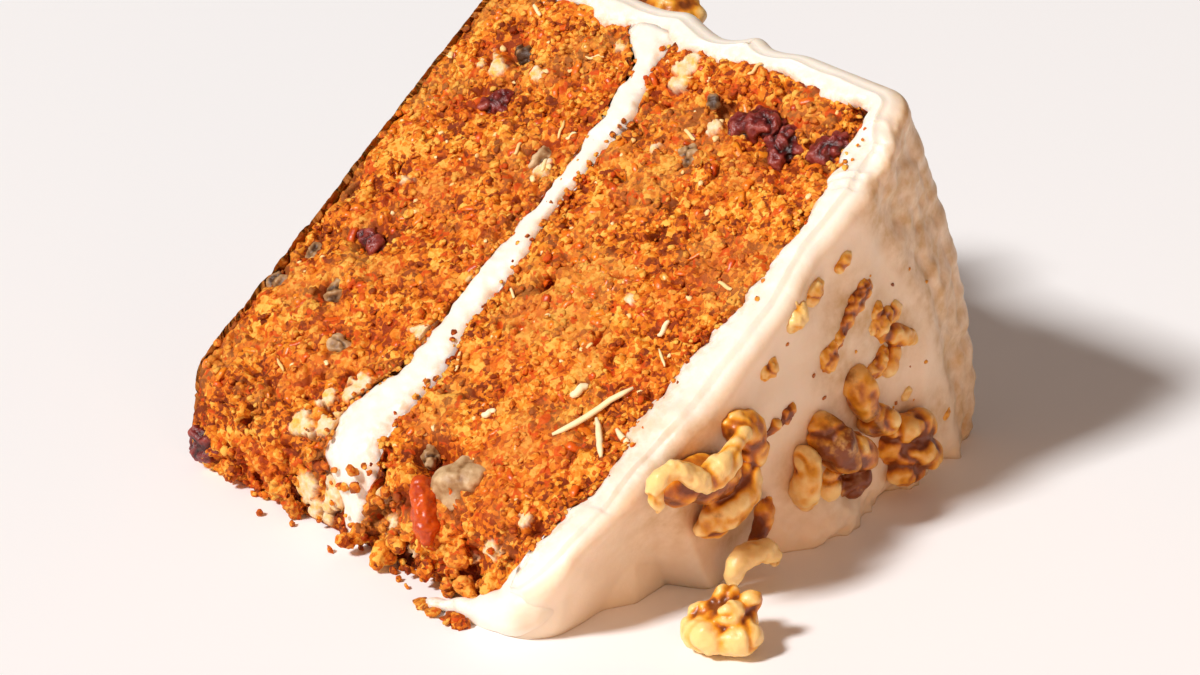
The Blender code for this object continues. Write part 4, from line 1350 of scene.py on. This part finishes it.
def creamFinish():
    # pale cream that lightens with the point's tone and noise
    made = Finish("coconut", {"Roughness": 0.5, "Specular IOR Level": 0.35})
    tone = made.value("tone") * 0.6 + made.noise(1.5, 2.0, 0.5) * 0.5 - 0.05
    stops = [(0.1, (0.88, 0.52, 0.16)), (0.5, (0.93, 0.70, 0.34)), (0.9, (0.95, 0.82, 0.56))]
    made.set("Base Color", made.ramp(tone, stops))
    return made.material


creamMaterial = creamFinish()
crumbPieces()
tipChunks()
carrotShreds()
paleBits()
nutBits()
frostingFoot()
print("crumbs, shreds and bits are in")


def stage():
    # a wide pale floor
    floorMaterial = Finish("paleFloor", {"Base Color": (0.96, 0.955, 0.96, 1), "Roughness": 0.6})
    mesh = bpy.data.meshes.new("floor")
    mesh.from_pydata([(-6, -6, 0), (6, -6, 0), (6, 6, 0), (-6, 6, 0)], [], [(0, 1, 2, 3)])
    mesh.materials.append(floorMaterial.material)
    floor = bpy.data.objects.new("floor", mesh)
    bpy.context.scene.collection.objects.link(floor)


light = {
    "keyTravel": (0.275, 0.961),  # horizontal direction that the key light shines in
    "keyHeight": 45.0,  # degrees above the floor
    "keyPower": 2230.0,
    "keySize": 2.1,
    "keyDistance": 14.0,
    "keyColour": (1.0, 0.99, 0.98),
    "fillPlace": (0.36, -0.20, 0.10),
    "fillPower": 0.38,
    "fillColour": (1.0, 0.50, 0.22),
    "worldColour": (0.97, 0.80, 0.72),
    "worldStrength": 0.20,
}


def areaLight(name, place, aim, size, power, colour):
    # a square lamp at its place, turned towards its aim
    lamp = bpy.data.lights.new(name, "AREA")
    lamp.energy = power
    lamp.size = size
    lamp.color = colour
    made = bpy.data.objects.new(name, lamp)
    made.location = place
    made.rotation_euler = (Vector(aim) - Vector(place)).to_track_quat("-Z", "Y").to_euler()
    bpy.context.scene.collection.objects.link(made)


def lights():
    # the key light stands back along its direction of travel; a weak warm fill lights the shaded side
    aim = Vector((0, 0, 0.02))
    height = math.radians(light["keyHeight"])
    travel = Vector((*light["keyTravel"], 0)).normalized() * math.cos(height) - Vector((0, 0, math.sin(height)))
    place = aim - travel * light["keyDistance"]
    areaLight("key", place, aim, light["keySize"], light["keyPower"], light["keyColour"])
    areaLight("fill", light["fillPlace"], aim, 0.16, light["fillPower"], light["fillColour"])
    world = bpy.data.worlds.new("studio")
    world.use_nodes = True
    background = world.node_tree.nodes["Background"]
    background.inputs["Color"].default_value = (*light["worldColour"], 1)
    background.inputs["Strength"].default_value = light["worldStrength"]
    bpy.context.scene.world = world
    bpy.context.scene.view_settings.view_transform = "Standard"
    bpy.context.scene.view_settings.look = "None"


# where the camera stands and looks, in slice millimetres
view = {"place": (428.15, -331.76, 294.97), "aim": (48.33, 63.45, 22.57), "lens": 120.0, "film": 36.0}


def camera():
    # stands and aims at the listed places, worked into the frame
    data = bpy.data.cameras.new("camera")
    data.lens = view["lens"]
    data.sensor_width = view["film"]
    data.clip_start = 0.01
    made = bpy.data.objects.new("camera", data)
    place = Vector(np.array(view["place"]) / 1000 + sliceOrigin)
    aim = Vector(np.array(view["aim"]) / 1000 + sliceOrigin)
    made.location = place
    made.rotation_euler = (aim - place).to_track_quat("-Z", "Y").to_euler()
    bpy.context.scene.collection.objects.link(made)
    bpy.context.scene.camera = made


stage()
lights()
camera()
print("floor, lights and camera are set")
